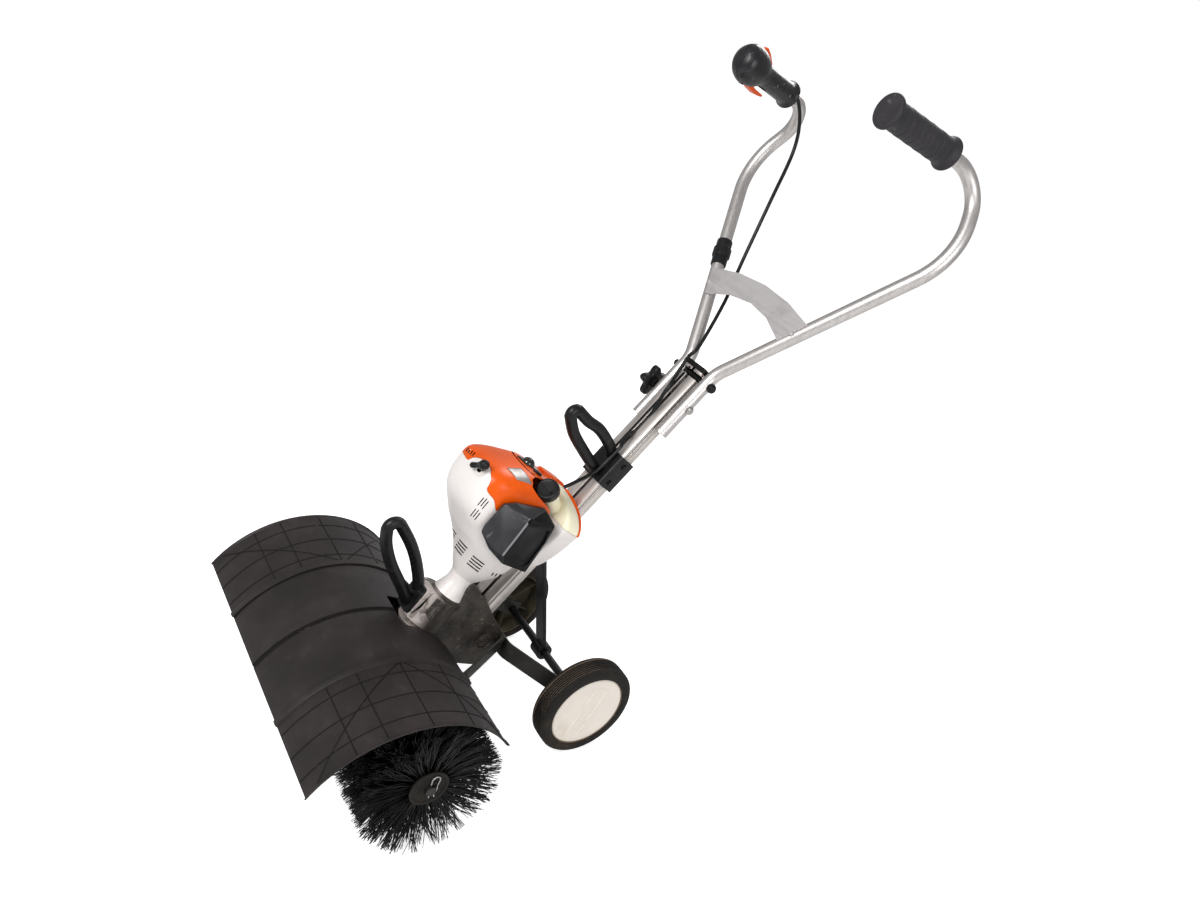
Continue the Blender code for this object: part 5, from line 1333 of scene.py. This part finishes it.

# %% [markdown]
# ## The throttle cable
# The cable runs from the engine up the slot of the rail, past the fold, along the operator's
# right tube and into the throttle. It is one black sheath. Where the handle folds, the sheath
# bends between the two bodies, so it is made as one piece that hangs on no body.

# %% Throttle cable
CABLE_LOW = mm([(0, 87.2, 640), (0, 80, 622), (2, 76.5, 610), (8, 73.5, 600), (13, 71.8, 590),
                (13.5, 70.5, 560), (14.5, 66.5, 535), (16, 57, 515), (18, 46, 500), (20, 36, 486),
                (20, 28, 473.5)])
CABLE_BEND = mm([(0, 87.2, 665.6), (0, 86.5, 672), (0, 83, 684), (0, 77.5, 700), (0, 71.5, 720),
                 (-1, 69.4, 735.4), (-7.5, 72, 754.4), (-14, 72.8, 776), (-20.5, 75, 800)])
CABLE_HIGH = mm([(-35, 551, 752), (-70, 609, 823.5), (-100, 645, 870), (-115, 665, 905),
                 (-140, 707, 1009), (-168, 748, 1084), (-177, 755.5, 1128), (-177.5, 743, 1164)])
CABLE_R = 0.0035
cable_points = [of_rail(y, z, x) for x, y, z in CABLE_LOW[::-1] + CABLE_BEND]
cable_points += lifted(CABLE_HIGH)
cable_points += [GRIP_RIGHT @ Vector((math.copysign(0.0190, GRIP_RIGHT.col[0].x), 0.002, z))
                 for z in (0.161, 0.1523)]
cable = tube_along("throttle_cable", [smooth_path(cable_points, 6)], CABLE_R, BLACK, None, (), 4)
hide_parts("throttle_cable_lower", "throttle_cable_bend", "throttle_cable_upper")
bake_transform(cable)
print("cable of", len(cable_points), "points")


# %% Cable clip
def rail_clip(radius=0.0056, long=0.007, wall=0.0016):
    """A short sleeve round the cable, near the upper end of the rail."""
    before, at, after = (of_rail(y, z, x) for x, y, z in CABLE_LOW[:3])
    chain = [(radius - wall, -long / 2), (radius, -long / 2), (radius, long / 2),
             (radius - wall, long / 2)]
    return piece_from(spun(eased(chain, 0.0005, 2, True), 32, ring=True), "cable_clip_rail", BLACK,
                      "chassis", place=Matrix.Translation(at) @ facing(after - before))


print(rail_clip().name)

# %% [markdown]
# ## The engine's shells
# A white fan housing flares out of the neck and an orange lid closes it. They share one outer
# form, so the form is made once, as rounded sections joined up the crankshaft's axis. A wavy sheet
# then parts it in two, which gives both shells exactly the same edge, with a fine gap between.

# %% Sections of the engine's form
SHELL_WALL = 0.0025
STATIONS = sections_mm([
    # height, X from and to, Y from and to, and how square the section is
    (0, -28.5, 28.5, -28.5, 28.5, 2.0), (14, -24.6, 24.6, -24.6, 24.6, 2.0),
    (27, -21.5, 21.5, -21.5, 21.5, 2.0), (42, -24, 24, -24, 24, 2.0), (55, -34, 34, -34, 33.5, 2.0),
    (80, -51, 50, -52, 49, 2.1), (105, -69, 62, -74, 53, 2.3), (118, -78, 64, -88, 52, 2.5),
    (133, -84, 65, -101, 48, 2.8), (156, -85, 65, -122, 30, 3.2), (180, -85, 65, -135, 30, 3.4),
    (205, -85, 65, -139, 30, 3.4), (222.2, -85, 65, -138.8, 30, 3.4), (235, -83, 63, -134, 30, 3.3),
    (248, -78, 58, -113, 28, 3.0), (260, -68, 52, -82, 24, 2.7), (267, -60, 47, -64, 20, 2.5),
    (270, -48, 38, -50, 13, 2.4)])


def fine_stations(stations, steps=3):
    rows = [stations[0], *stations, stations[-1]]
    out = []
    for k in range(len(stations) - 1):
        for n in range(steps):
            t = n / steps
            out.append(tuple(between(*[rows[k + m][i] for m in range(4)], t) for i in range(6)))
    return out + [stations[-1]]


def lofted(stations, sides=72):
    """Rings of rounded sections, bridged into one closed form."""
    bm = bmesh.new()
    rings = []
    for z, x0, x1, y0, y1, power in stations:
        made = bmesh.ops.create_circle(bm, cap_ends=False, segments=sides, radius=1.0)
        for vert in made["verts"]:
            c, s = vert.co.x, vert.co.y
            c = math.copysign(abs(c)**(2 / power), c)
            s = math.copysign(abs(s)**(2 / power), s)
            vert.co = ((x0 + x1) / 2 + c * (x1 - x0) / 2, (y0 + y1) / 2 + s * (y1 - y0) / 2, z)
        rings.append([e for e in bm.edges if e.verts[0] in made["verts"]
                      and e.verts[1] in made["verts"]])
    for low, high in zip(rings, rings[1:]):
        bmesh.ops.bridge_loops(bm, edges=low + high)
    for ring in (rings[0], rings[-1]):
        bmesh.ops.contextual_create(bm, geom=ring)
    bmesh.ops.recalc_face_normals(bm, faces=bm.faces)
    return bm


def shrunk(stations, wall, low, high):
    rows = [(z, x0 + wall, x1 - wall, y0 + wall, y1 - wall, p) for z, x0, x1, y0, y1, p in stations
            if low < z < high]
    return [(low, *rows[0][1:])] + rows + [(high, *rows[-1][1:])]


# near-black painted shade for the inner wall of the engine's shells, and for the walls of slots,
# bores and grooves cut into them and into the rail
PAINTED_SHADE_INSIDE = material("shell_inside_painted_shade", rgb(24, 23, 23), 0.8, dust=0.3, scuffs=0.0, bump=0.02)
SHELL = fine_stations(STATIONS)
print("sections", len(SHELL))

# %% The line between white and orange
# how far along the section's diagonal, and how high: from the front, round the starter's
# white boss, down beside the filter and up to the filler
BORDER = mm([(-200, 217.5), (-138, 217.7), (-118, 216.5), (-113.5, 221.5), (-110, 227.5),
             (-100, 234), (-86.6, 236.8), (-76, 235), (-69, 230), (-62, 223.5), (-59.2, 215),
             (-57.5, 208.5), (-51.3, 204.5), (-40, 202.2), (-33, 198), (-27, 191.5), (-20, 189.5),
             (1.8, 205), (41.2, 220), (70, 222.2), (200, 222.2)])
# the border and the slots are given along a diagonal of the engine, on the picture's side of it
ACROSS = Vector((0.718, 0.696, 0)).normalized()
TOWARDS = Vector((0.696, -0.718, 0)).normalized()
UP = Vector((0, 0, 1))
DIAGONAL = Matrix((ACROSS, -TOWARDS, UP)).transposed()
REACH = 0.2  # further from the engine's axis than any of its faces


def border_block(above):
    """A block over the border, or under it, that runs right through the form."""
    gap, end = (-GAP, 0.40) if above else (GAP, -0.05)
    outline = [(v.x, v.y + gap) for v in smooth_path([(p, z, 0) for p, z in BORDER], 4)]
    outline += [(outline[-1][0], end), (outline[0][0], end)]
    bm = bmesh.new()
    face = bm.faces.new([bm.verts.new(ACROSS * p + UP * z - TOWARDS * REACH) for p, z in outline])
    return raised(bm, [face], TOWARDS * 2 * REACH)


print("border of", len(BORDER), "points")


# %% White housing
GRIP_AT = Vector((0.0140, -0.1478, 0.2285))
SLOT_DEEP = 0.16
SLOTS = [
    # middle along the diagonal and up, half length along and half height, pitch and count
    (-0.0580, 0.0925, 0.0062, 0.0014, 0.0066, 3), (-0.0315, 0.0880, 0.0105, 0.0014, 0.0066, 4),
    (0.0065, 0.0845, 0.0125, 0.0014, 0.0066, 4)]
UPRIGHT_SLOTS = [(-0.0470, 0.1855, 0.0085, 0.0048, 3), (-0.0455, 0.1615, 0.0085, 0.0048, 3)]
NECK_GROOVE = mm([(23.2, 41), (30, 41), (30, 42), (23.2, 42)])
# radius, from, to and sides: the rope's hole, one hole in each flank, and the clutch's bore
HOUSING_BORES = [
    (0.0024, (GRIP_AT.x, -0.16, GRIP_AT.z), (GRIP_AT.x, -0.12, GRIP_AT.z), 24),
    (0.0115, (0.045, -0.016, 0.168), (0.075, -0.016, 0.168), 32),
    (0.0085, (-0.095, -0.075, 0.170), (-0.070, -0.075, 0.170), 32),
    (0.0120, (0, 0, -0.002), (0, 0, 0.06), 32)]


def add_slot(bm, p, z, half_long, half_high, depth=0.085):
    """A block through the near wall, p along the diagonal and z up."""
    verts = bmesh.ops.create_cube(bm, size=1.0)["verts"]
    bmesh.ops.scale(bm, vec=(2 * half_long, SLOT_DEEP, 2 * half_high), verts=verts)
    bmesh.ops.rotate(bm, cent=(0, 0, 0), matrix=DIAGONAL, verts=verts)
    bmesh.ops.translate(bm, vec=ACROSS * p + TOWARDS * depth + UP * z, verts=verts)


def slot_blocks():
    bm = bmesh.new()
    for p, z, half, thick, pitch, count in SLOTS:
        for k in range(count):
            add_slot(bm, p, z + pitch * (k - (count - 1) / 2), half, thick)
    for p, z, half, pitch, count in UPRIGHT_SLOTS:
        for k in range(count):
            lift = 0.002 * (1 - abs(k - 1))
            add_slot(bm, p + pitch * (k - (count - 1) / 2), z + lift, 0.0009, half)
    for k in range(4):
        add_slot(bm, 0.0400 + 0.0055 * k, 0.0850 + 0.0012 * k, 0.0010, 0.0042)
    return bm


def grip_dish():
    """A shallow dish behind the starter grip."""
    bm = bmesh.new()
    bmesh.ops.create_uvsphere(bm, u_segments=48, v_segments=24, radius=1.0)
    bmesh.ops.scale(bm, vec=(0.0250, 0.0046, 0.0165), verts=bm.verts)
    bmesh.ops.translate(bm, vec=(GRIP_AT.x, -0.1402, GRIP_AT.z - 0.0025), verts=bm.verts)
    return bm


def shell(name, paint, node, cuts):
    """The engine's form, cut by each block in turn and then hollowed."""
    made = piece_from(lofted(SHELL), name, paint, "chassis", (node,), 0, ENGINE)
    for block, inside in cuts:
        cut(made, block, ENGINE, inside)
    # the inner wall takes the painted shade
    cut(made, lofted(shrunk(SHELL, SHELL_WALL, 0.0520, 0.2670)), ENGINE, PAINTED_SHADE_INSIDE)
    return resharpen(made, 40)


# the slots and bores through the housing take the painted shade on their walls
HOUSING = shell("white_housing", WHITE, "fan_housing", [
    (border_block(True), WHITE), (grip_dish(), WHITE), (slot_blocks(), PAINTED_SHADE_INSIDE),
    (spun(NECK_GROOVE, ring=True), WHITE), *((rod_bm(*bore), PAINTED_SHADE_INSIDE) for bore in HOUSING_BORES)])
rounded(HOUSING, 0.0005)
print(HOUSING.name, len(HOUSING.data.polygons), "faces")


# %% Orange lid
CAP_AT, NECK_FROM = Vector((0.050, -0.026, 0.262)), Vector((0.030, 0.041, 0.236))
CAP_DIR = (CAP_AT - NECK_FROM).normalized()
PRIMER_AT = Vector((-0.0105, -0.044, 0.2706))
PRIMER_UP = Vector((0, -0.22, 1)).normalized()


def tip_slots():
    """Four narrow slots that fan out over the front tip."""
    bm = bmesh.new()
    for k in range(4):
        add_slot(bm, 0.0050 * k - 0.1300, 0.2262 + 0.0012 * k, 0.0011, 0.00375, 0.07)
    return bm


# the lid's tip slots take the painted shade on their walls
LID = shell("orange_lid", ORANGE, "top_cover", [
    (rod_bm(0.0215, NECK_FROM - CAP_DIR * 0.01, CAP_AT + CAP_DIR * 0.03), ORANGE),
    (rod_bm(0.0110, PRIMER_AT - PRIMER_UP * 0.02, PRIMER_AT + PRIMER_UP * 0.02), ORANGE),
    (border_block(False), ORANGE), (tip_slots(), PAINTED_SHADE_INSIDE)])
rounded(LID, 0.0007)
print(LID.name, len(LID.data.polygons), "faces")

# %% [markdown]
# ## Small parts of the chassis
# These parts aren't in the measured model, or only roughly: two grooves down the rail, a sleeve
# on the right handle tube, the lug that pinches the engine's neck, and a boss round the oil plug.

# %% Grooves along the rail
RAIL_GROOVES = [((-0.0120, 0.0825, 0.5850), (-0.0060, 0.0862, 0.7870)),
                ((0.0238, 0.0905, 0.2100), (0.0260, 0.0917, 0.7870))]
rail = settled(made_copies["rail"])
# the grooves' walls are painted near-black as shade
for corners in RAIL_GROOVES:
    cut(rail, box_bm(*corners), RAIL, PAINTED_SHADE_INSIDE)
resharpen(rail)
print(rail.name, len(rail.data.polygons), "faces")


# %% Sleeve on the far tube
def tube_sleeve():
    """A sleeve with a thicker knot, between two of the right tube's corners."""
    low, high = handle_corners(-1)[1:3]
    sleeve_ends = (low.lerp(high, share) for share in (0.450, 0.575))
    knot_ends = (low.lerp(high, share) for share in (0.495, 0.535))
    made = piece_from(rod_bm(TUBE_R + 0.0026, *sleeve_ends), "tube_sleeve", BLACK, "handle")
    join(made, rod_bm(TUBE_R + 0.0050, *knot_ends))
    return rounded(resharpen(made), 0.0012, 3, 40)


print(tube_sleeve().name)


# %% Lug on the gear case and boss round the plug
def lug():
    """The lug that pinches the neck's socket, with its two screws."""
    out = Vector((0.82, -0.572, 0))
    turn = Matrix((out, UP.cross(out), UP)).transposed().to_4x4()
    place = ENGINE @ Matrix.Translation((0.0335, -0.0310, -0.0225)) @ turn
    made = piece_from(box_bm((-0.008, -0.0085, -0.017), (0.0035, 0.0085, 0.017)), "clamp_lug",
                      LUG, "chassis", place=place)
    for z in (-0.0110, 0.0110):
        join(made, rod_bm(0.0042, (-0.002, 0, z), (0.0082, 0, z), 24), place)
    join(made, rod_bm(0.0035, (0.0035, 0, -0.019), (0.0035, 0, 0.019), 20), place)
    return rounded(resharpen(made, 40), 0.0010, angle=40)


def plug_boss():
    """A ring on the casting round the oil filler plug."""
    plug_low, plug_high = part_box("filler_plug")
    outer = plug_high[0] + 0.0006
    ring = [(0.0128, outer - 0.007), (0.0172, outer - 0.007), (0.0172, outer - 0.0008),
            (0.0160, outer), (0.0140, outer), (0.0128, outer - 0.0008)]
    middle = (0, (plug_low[1] + plug_high[1]) / 2, (plug_low[2] + plug_high[2]) / 2)
    return piece_from(spun(ring, 48, ring=True), "plug_boss", CAST, "chassis",
                      place=Matrix.Translation(middle) @ along_x(1))


print(lug().name, plug_boss().name)

# %% [markdown]
# ## Starter grip
# A pull grip with a fat lobe on one side and a slim arm on the other. It is a turned profile laid
# aslant in front of the dish, with a short stem behind it and the rope that follows it out.

# %% Starter grip
GRIP_SLANT = 55
ROPE_END = (-0.0050, -0.0275, 0.2090)
LOBES = mm([(0, -20), (3.2, -19.5), (5.2, -16.5), (5, -10), (4.6, -4), (5.8, 2), (8.4, 8),
            (8.8, 12.5), (7, 17.5), (3.5, 20), (0, 20.5)])


def starter_grip():
    turn = Matrix.Translation(GRIP_AT) @ Matrix.Rotation(math.radians(GRIP_SLANT), 4, "Y")
    made = piece_from(spun(eased(LOBES, 0.0015, 3), 40), "pull_grip", BLACK, "starter_handle",
                      ("starter_grip",), 0, ENGINE @ turn)
    stem = rod_bm(0.0052, GRIP_AT, (GRIP_AT.x, -0.1370, GRIP_AT.z), 32, 0.0066)
    join(made, stem, ENGINE, BLACK)
    join(made, rod_bm(0.0017, GRIP_AT, ROPE_END, 16), ENGINE, BLACK)
    return rounded(resharpen(made, 50), 0.0006)


print(starter_grip().name)

# %% [markdown]
# ## Tank and its wrap
# Behind the housing one form runs up from a narrow foot to a dome. Its lower part is white, and
# above the seam the near side is the cream tank and the far side is the orange lid. The three
# are the same lofted form, cut along shared planes, so that their faces run on into each other.

# %% Tank and its wrap
REAR = fine_stations(sections_mm([
    (134, -62, 64, 29, 61, 7.0), (142, -66, 68, 29, 66, 7.0), (160, -70, 73.5, 29, 72.5, 7.0),
    (180, -71, 79, 29, 75, 7.0), (200, -71.5, 83.5, 29, 75.7, 7.0),
    (226.2, -72, 88.5, 28.5, 76, 6.5), (236, -71.5, 86.5, 27, 75.7, 5.5),
    (246, -70, 80, 23, 75, 4.5), (256, -67, 69, 18, 73.5, 3.8), (264, -62, 53, 12, 71.5, 3.4),
    (269.5, -56, 34, 8, 69, 3.0), (273.5, -48, 13, 6, 65, 2.8), (275, -40, 0, 10, 60, 2.6)]))
SEAM_Z, FAR_X, BACK_Y = 0.2262, -0.018, 0.0690
SLIT = 0.0004  # between two neighbours of the rear form
WIDE, TOP = 0.2, 0.4  # further out and higher than any of it


def rear_part(name, paint, stands_for, away, wall=0.0, squat=1.0):
    """The rear form, less the blocks that belong to its neighbours."""
    rows = [(SEAM_Z + (z - SEAM_Z) * (squat if z > SEAM_Z else 1), x0 - wall, x1 + wall, y0,
             y1 + wall, p) for z, x0, x1, y0, y1, p in REAR]
    made = piece_from(lofted(rows, 96), name, paint, "chassis", stands_for, 0, ENGINE)
    for low, high in away:
        cut(made, box_bm(low, high), ENGINE, paint)
    return made


below_seam = ((-WIDE, -WIDE, 0.0), (WIDE, WIDE, SEAM_Z + SLIT))
wrap = rear_part("rear_wrap", WHITE, (), [((-WIDE, -WIDE, SEAM_Z), (WIDE, WIDE, TOP))])
rounded(resharpen(wrap, 40), 0.0006)
tail = rear_part("lid_tail", ORANGE, (),
                 [below_seam, ((FAR_X, -WIDE, 0.0), (WIDE, BACK_Y, TOP))], 0.0012)
rounded(resharpen(tail, 40), 0.0012, 3)
tank = rear_part("tank_shell", CREAM, ("fuel_tank",), [
    below_seam, ((-WIDE, -WIDE, 0.0), (FAR_X - SLIT, WIDE, TOP)),
    ((-WIDE, BACK_Y - SLIT, 0.0), (WIDE, WIDE, TOP)), ((-WIDE, -WIDE, 0.0), (WIDE, 0.0300, TOP))],
    -0.0014, 0.90)
join(tank, rod_bm(0.0140, NECK_FROM, CAP_AT, 48), ENGINE, CREAM)
rounded(resharpen(tank, 40), 0.0012, 3)
print("rear form", len(wrap.data.polygons), len(tail.data.polygons), len(tank.data.polygons))

# %% [markdown]
# ## The filter cover
# The dark cover on the engine's left is a folded shape: flat sides fall away from a ridge. It is
# drawn corner by corner, its edges are rounded, and a shallow panel is cut beside the ridge.

# %% Filter cover
# the foot's outline on the housing, then the outer corners in the same order, then the ridge
FOOT_X = 0.0653
FOOT_LINE = mm([(-99, 207), (-77.8, 219.8), (-18.5, 237), (11, 224), (20, 190), (29, 123),
                (-35, 120.5), (-62, 129), (-97, 147.5), (-101, 160)])
OUTER = mm([(74, -103.5, 208.5), (78, -88.5, 221.5), (80, -29, 237.5), (90.2, 6.3, 223.5),
            (88.7, 16.2, 190.9), (88, 26.2, 126.2), (100.5, -44, 125), (80, -71.6, 131),
            (74, -103, 148.5), (74, -106.5, 161.2)])
RIDGE = mm([(105, -65.3, 215.5), (104.5, -60, 140)])
# the faces between the outer corners, which are 0 to 9, and the ridge's ends, 10 and 11
FACETS = [(0, 1, 10), (1, 2, 10), (2, 3, 10), (10, 3, 4, 5, 6, 11), (11, 6, 7),
          (0, 10, 11, 7, 8, 9)]
PANEL = mm([(-60, 203), (-33, 153.7), (-22.5, 148), (15, 140), (11, 190), (0, 212)])
# where each screw stands, its radius, and how far out its head begins
SCREWS = mm([(-61, 212, 4.6, 98.5), (7.5, 138.5, 3.4, 86)])


def facet_x(y, z):
    """How far out the right facet stands."""
    return 0.105 - 0.2072 * (y + 0.0653) - 0.02195 * (z - 0.2155)


def folded_shape():
    bm = bmesh.new()
    foot = [bm.verts.new((FOOT_X, y, z)) for y, z in FOOT_LINE]
    upper = [bm.verts.new(corner) for corner in OUTER + RIDGE]
    bm.faces.new(foot)
    count = len(foot)
    for k in range(count):
        n = (k + 1) % count
        bm.faces.new((foot[k], foot[n], upper[n], upper[k]))
    for corners in FACETS:
        bm.faces.new([upper[k] for k in corners])
    bmesh.ops.recalc_face_normals(bm, faces=bm.faces)
    return bm


def paint_facet_shade_and_highlight(made):
    """The right-hand facets are painted darker as shade, and the rounded ridge between them gets a
    painted highlight.
    """
    made.data.materials.append(SLATE_SHADED)
    made.data.materials.append(SLATE_HIGHLIGHT)
    start, end = (ENGINE @ Vector(corner) for corner in RIDGE)
    along = (end - start).normalized()
    for polygon in made.data.polygons:
        # facets that face the engine's Y way take the painted shade
        if polygon.normal.dot(ENGINE.col[1].xyz) > 0.05:
            polygon.material_index = 1
        # small faces along the ridge take the painted highlight
        if polygon.area < 2e-4 and (polygon.center - start).cross(along).length < 0.0030:
            polygon.material_index = 2


def filter_cover():
    made = piece_from(folded_shape(), "filter_shell", SLATE, "chassis", ("filter_cover",), 0,
                      ENGINE)
    settled(rounded(made, 0.0022, 4, 9))
    paint_facet_shade_and_highlight(made)
    # a shallow panel beside the ridge, and the wells of two screws
    panel = bmesh.new()
    face = panel.faces.new([panel.verts.new((facet_x(y, z) - 0.0022, y, z)) for y, z in PANEL])
    # the panel's walls take the same painted shade
    cut(made, raised(panel, [face], (0.02, 0, 0)), ENGINE, SLATE_SHADED)
    for y, z, r, x in SCREWS:
        cut(made, rod_bm(r + 0.0008, (x, y, z), (0.120, y, z)), ENGINE, SLATE)
    return rounded(resharpen(made, 30), 0.0005, angle=50)


FILTER_SHELL = filter_cover()
# the screw heads are drawn in the holes' near-black
for name, (y, z, r, x) in zip(("filter_screw", "filter_screw_low"), SCREWS):
    screw_head(name, PIT, "chassis", ENGINE @ Matrix.Translation((x, y, z)), r, 0.0030, 0.0012,
               0.5, 0.0004)
print(FILTER_SHELL.name, len(FILTER_SHELL.data.polygons), "faces")

# %% [markdown]
# ## On the lid
# The filler cap is ribbed for the fingers and the primer is a soft dome beside it. A bare metal
# plate and the primer's seat are patches that are dropped on the lid, so they follow its curve.

# %% Fuel cap and primer bulb
CAP_RIBS = 36
CAP = mm([(0, 5.8), (14.8, 5.8), (15.8, 6.4), (18.2, 6.4), (19.6, 5), (20, 3.5), (20, -9),
          (14.4, -9)])
CAP += [(0.0144, GAP), (0, GAP)]
DOME = mm([(0, 8.8), (4, 8.3), (7.6, 6.6), (9.8, 4), (10.8, 1), (11.2, 0.4), (11.8, 0.1),
           (11.8, -6), (0, -6)])
DOME_WIDER, DOME_TALLER = 1.15, 1.3
GLOSS = material("primer_rubber", rgb(22, 22, 24), 0.12, dust=0.1, scuffs=0.0, bump=0.01, coat=0.6)


def fuel_cap():
    place = ENGINE @ Matrix.Translation(CAP_AT) @ facing(CAP_DIR)
    made = piece_from(spun(eased(CAP, 0.0008, 2), 72), "filler_cap", BLACK, "filler_cap",
                      ("fuel_cap",), place=place)
    ribs = bmesh.new()
    for k in range(CAP_RIBS):
        verts = bmesh.ops.create_cube(ribs, size=1.0)["verts"]
        bmesh.ops.scale(ribs, vec=(0.0014, 0.0013, 0.0105), verts=verts)
        bmesh.ops.translate(ribs, vec=(0.0201, 0, -0.0030), verts=verts)
        bmesh.ops.rotate(ribs, cent=(0, 0, 0), verts=verts,
                         matrix=Matrix.Rotation(math.tau * k / CAP_RIBS, 3, "Z"))
    join(made, ribs, place)
    join(made, box_bm((-0.0125, -0.0018, 0.0050), (0.0125, 0.0018, 0.0095)), place)
    return rounded(resharpen(made), 0.0004)


def primer_dome():
    chain = [(r * DOME_WIDER, h * DOME_TALLER) for r, h in DOME]
    return piece_from(spun(eased(chain, 0.0006, 2), 48), "primer_dome", GLOSS, "primer",
                      ("primer_bulb",), 50,
                      ENGINE @ Matrix.Translation(PRIMER_AT) @ facing(PRIMER_UP))


print(fuel_cap().name, primer_dome().name)


# %% Bare plate and primer seat on the lid
def laid_on(made, corners, steps, lift, way):
    """A patch between four corners that follows the surface of another piece."""
    bpy.context.view_layer.update()
    tree = BVHTree.FromObject(made, bpy.context.evaluated_depsgraph_get())
    a, b, c, d = (ENGINE @ Vector(corner) for corner in corners)
    way = (ENGINE.to_3x3() @ Vector(way)).normalized()
    bm = bmesh.new()
    rows = []
    for i in range(steps + 1):
        row = []
        for j in range(steps + 1):
            u, v = i / steps, j / steps
            at = a.lerp(b, u).lerp(d.lerp(c, u), v)
            near = tree.ray_cast(at + way * 0.05, -way)[0] or at
            row.append(bm.verts.new(near + way * lift))
        rows.append(row)
    for one, two in zip(rows, rows[1:]):
        for k in range(steps):
            bm.faces.new((one[k], one[k + 1], two[k + 1], two[k]))
    bmesh.ops.recalc_face_normals(bm, faces=bm.faces)
    return bm


def plated(name, paint, corners, lift, thick, way, steps=14):
    made = piece_from(laid_on(LID, corners, steps, lift, way), name, paint, "chassis", smooth=40)
    skin = made.modifiers.new("thickness", "SOLIDIFY")
    skin.thickness = thick
    skin.offset = 0.0
    return made


SILVER = material("bare_plate", rgb(158, 155, 153), 0.36, metal=0.5, dust=0.5, scuffs=0.8,
                  shade=0.2, grain=1.0, scale=500, bump=0.05, dust_colour=rgb(120, 112, 106),
                  scuff_colour=rgb(96, 92, 90))
plated("rating_plate", SILVER, [(0.0231, -0.105, 0.2501), (0.0184, -0.0757, 0.2616),
                                (0.0519, -0.0634, 0.2550), (0.0483, -0.0941, 0.2476)],
       0.0008, 0.0008, (0.45, -0.33, 0.83))
plated("primer_seat", GLOSS, [(-0.0270, -0.0600, 0.270), (-0.0270, -0.0260, 0.272),
                              (0.0040, -0.0230, 0.272), (0.0040, -0.0560, 0.270)],
       0.0012, 0.0024, (0, -0.2, 1))
print("plate and seat follow the lid")
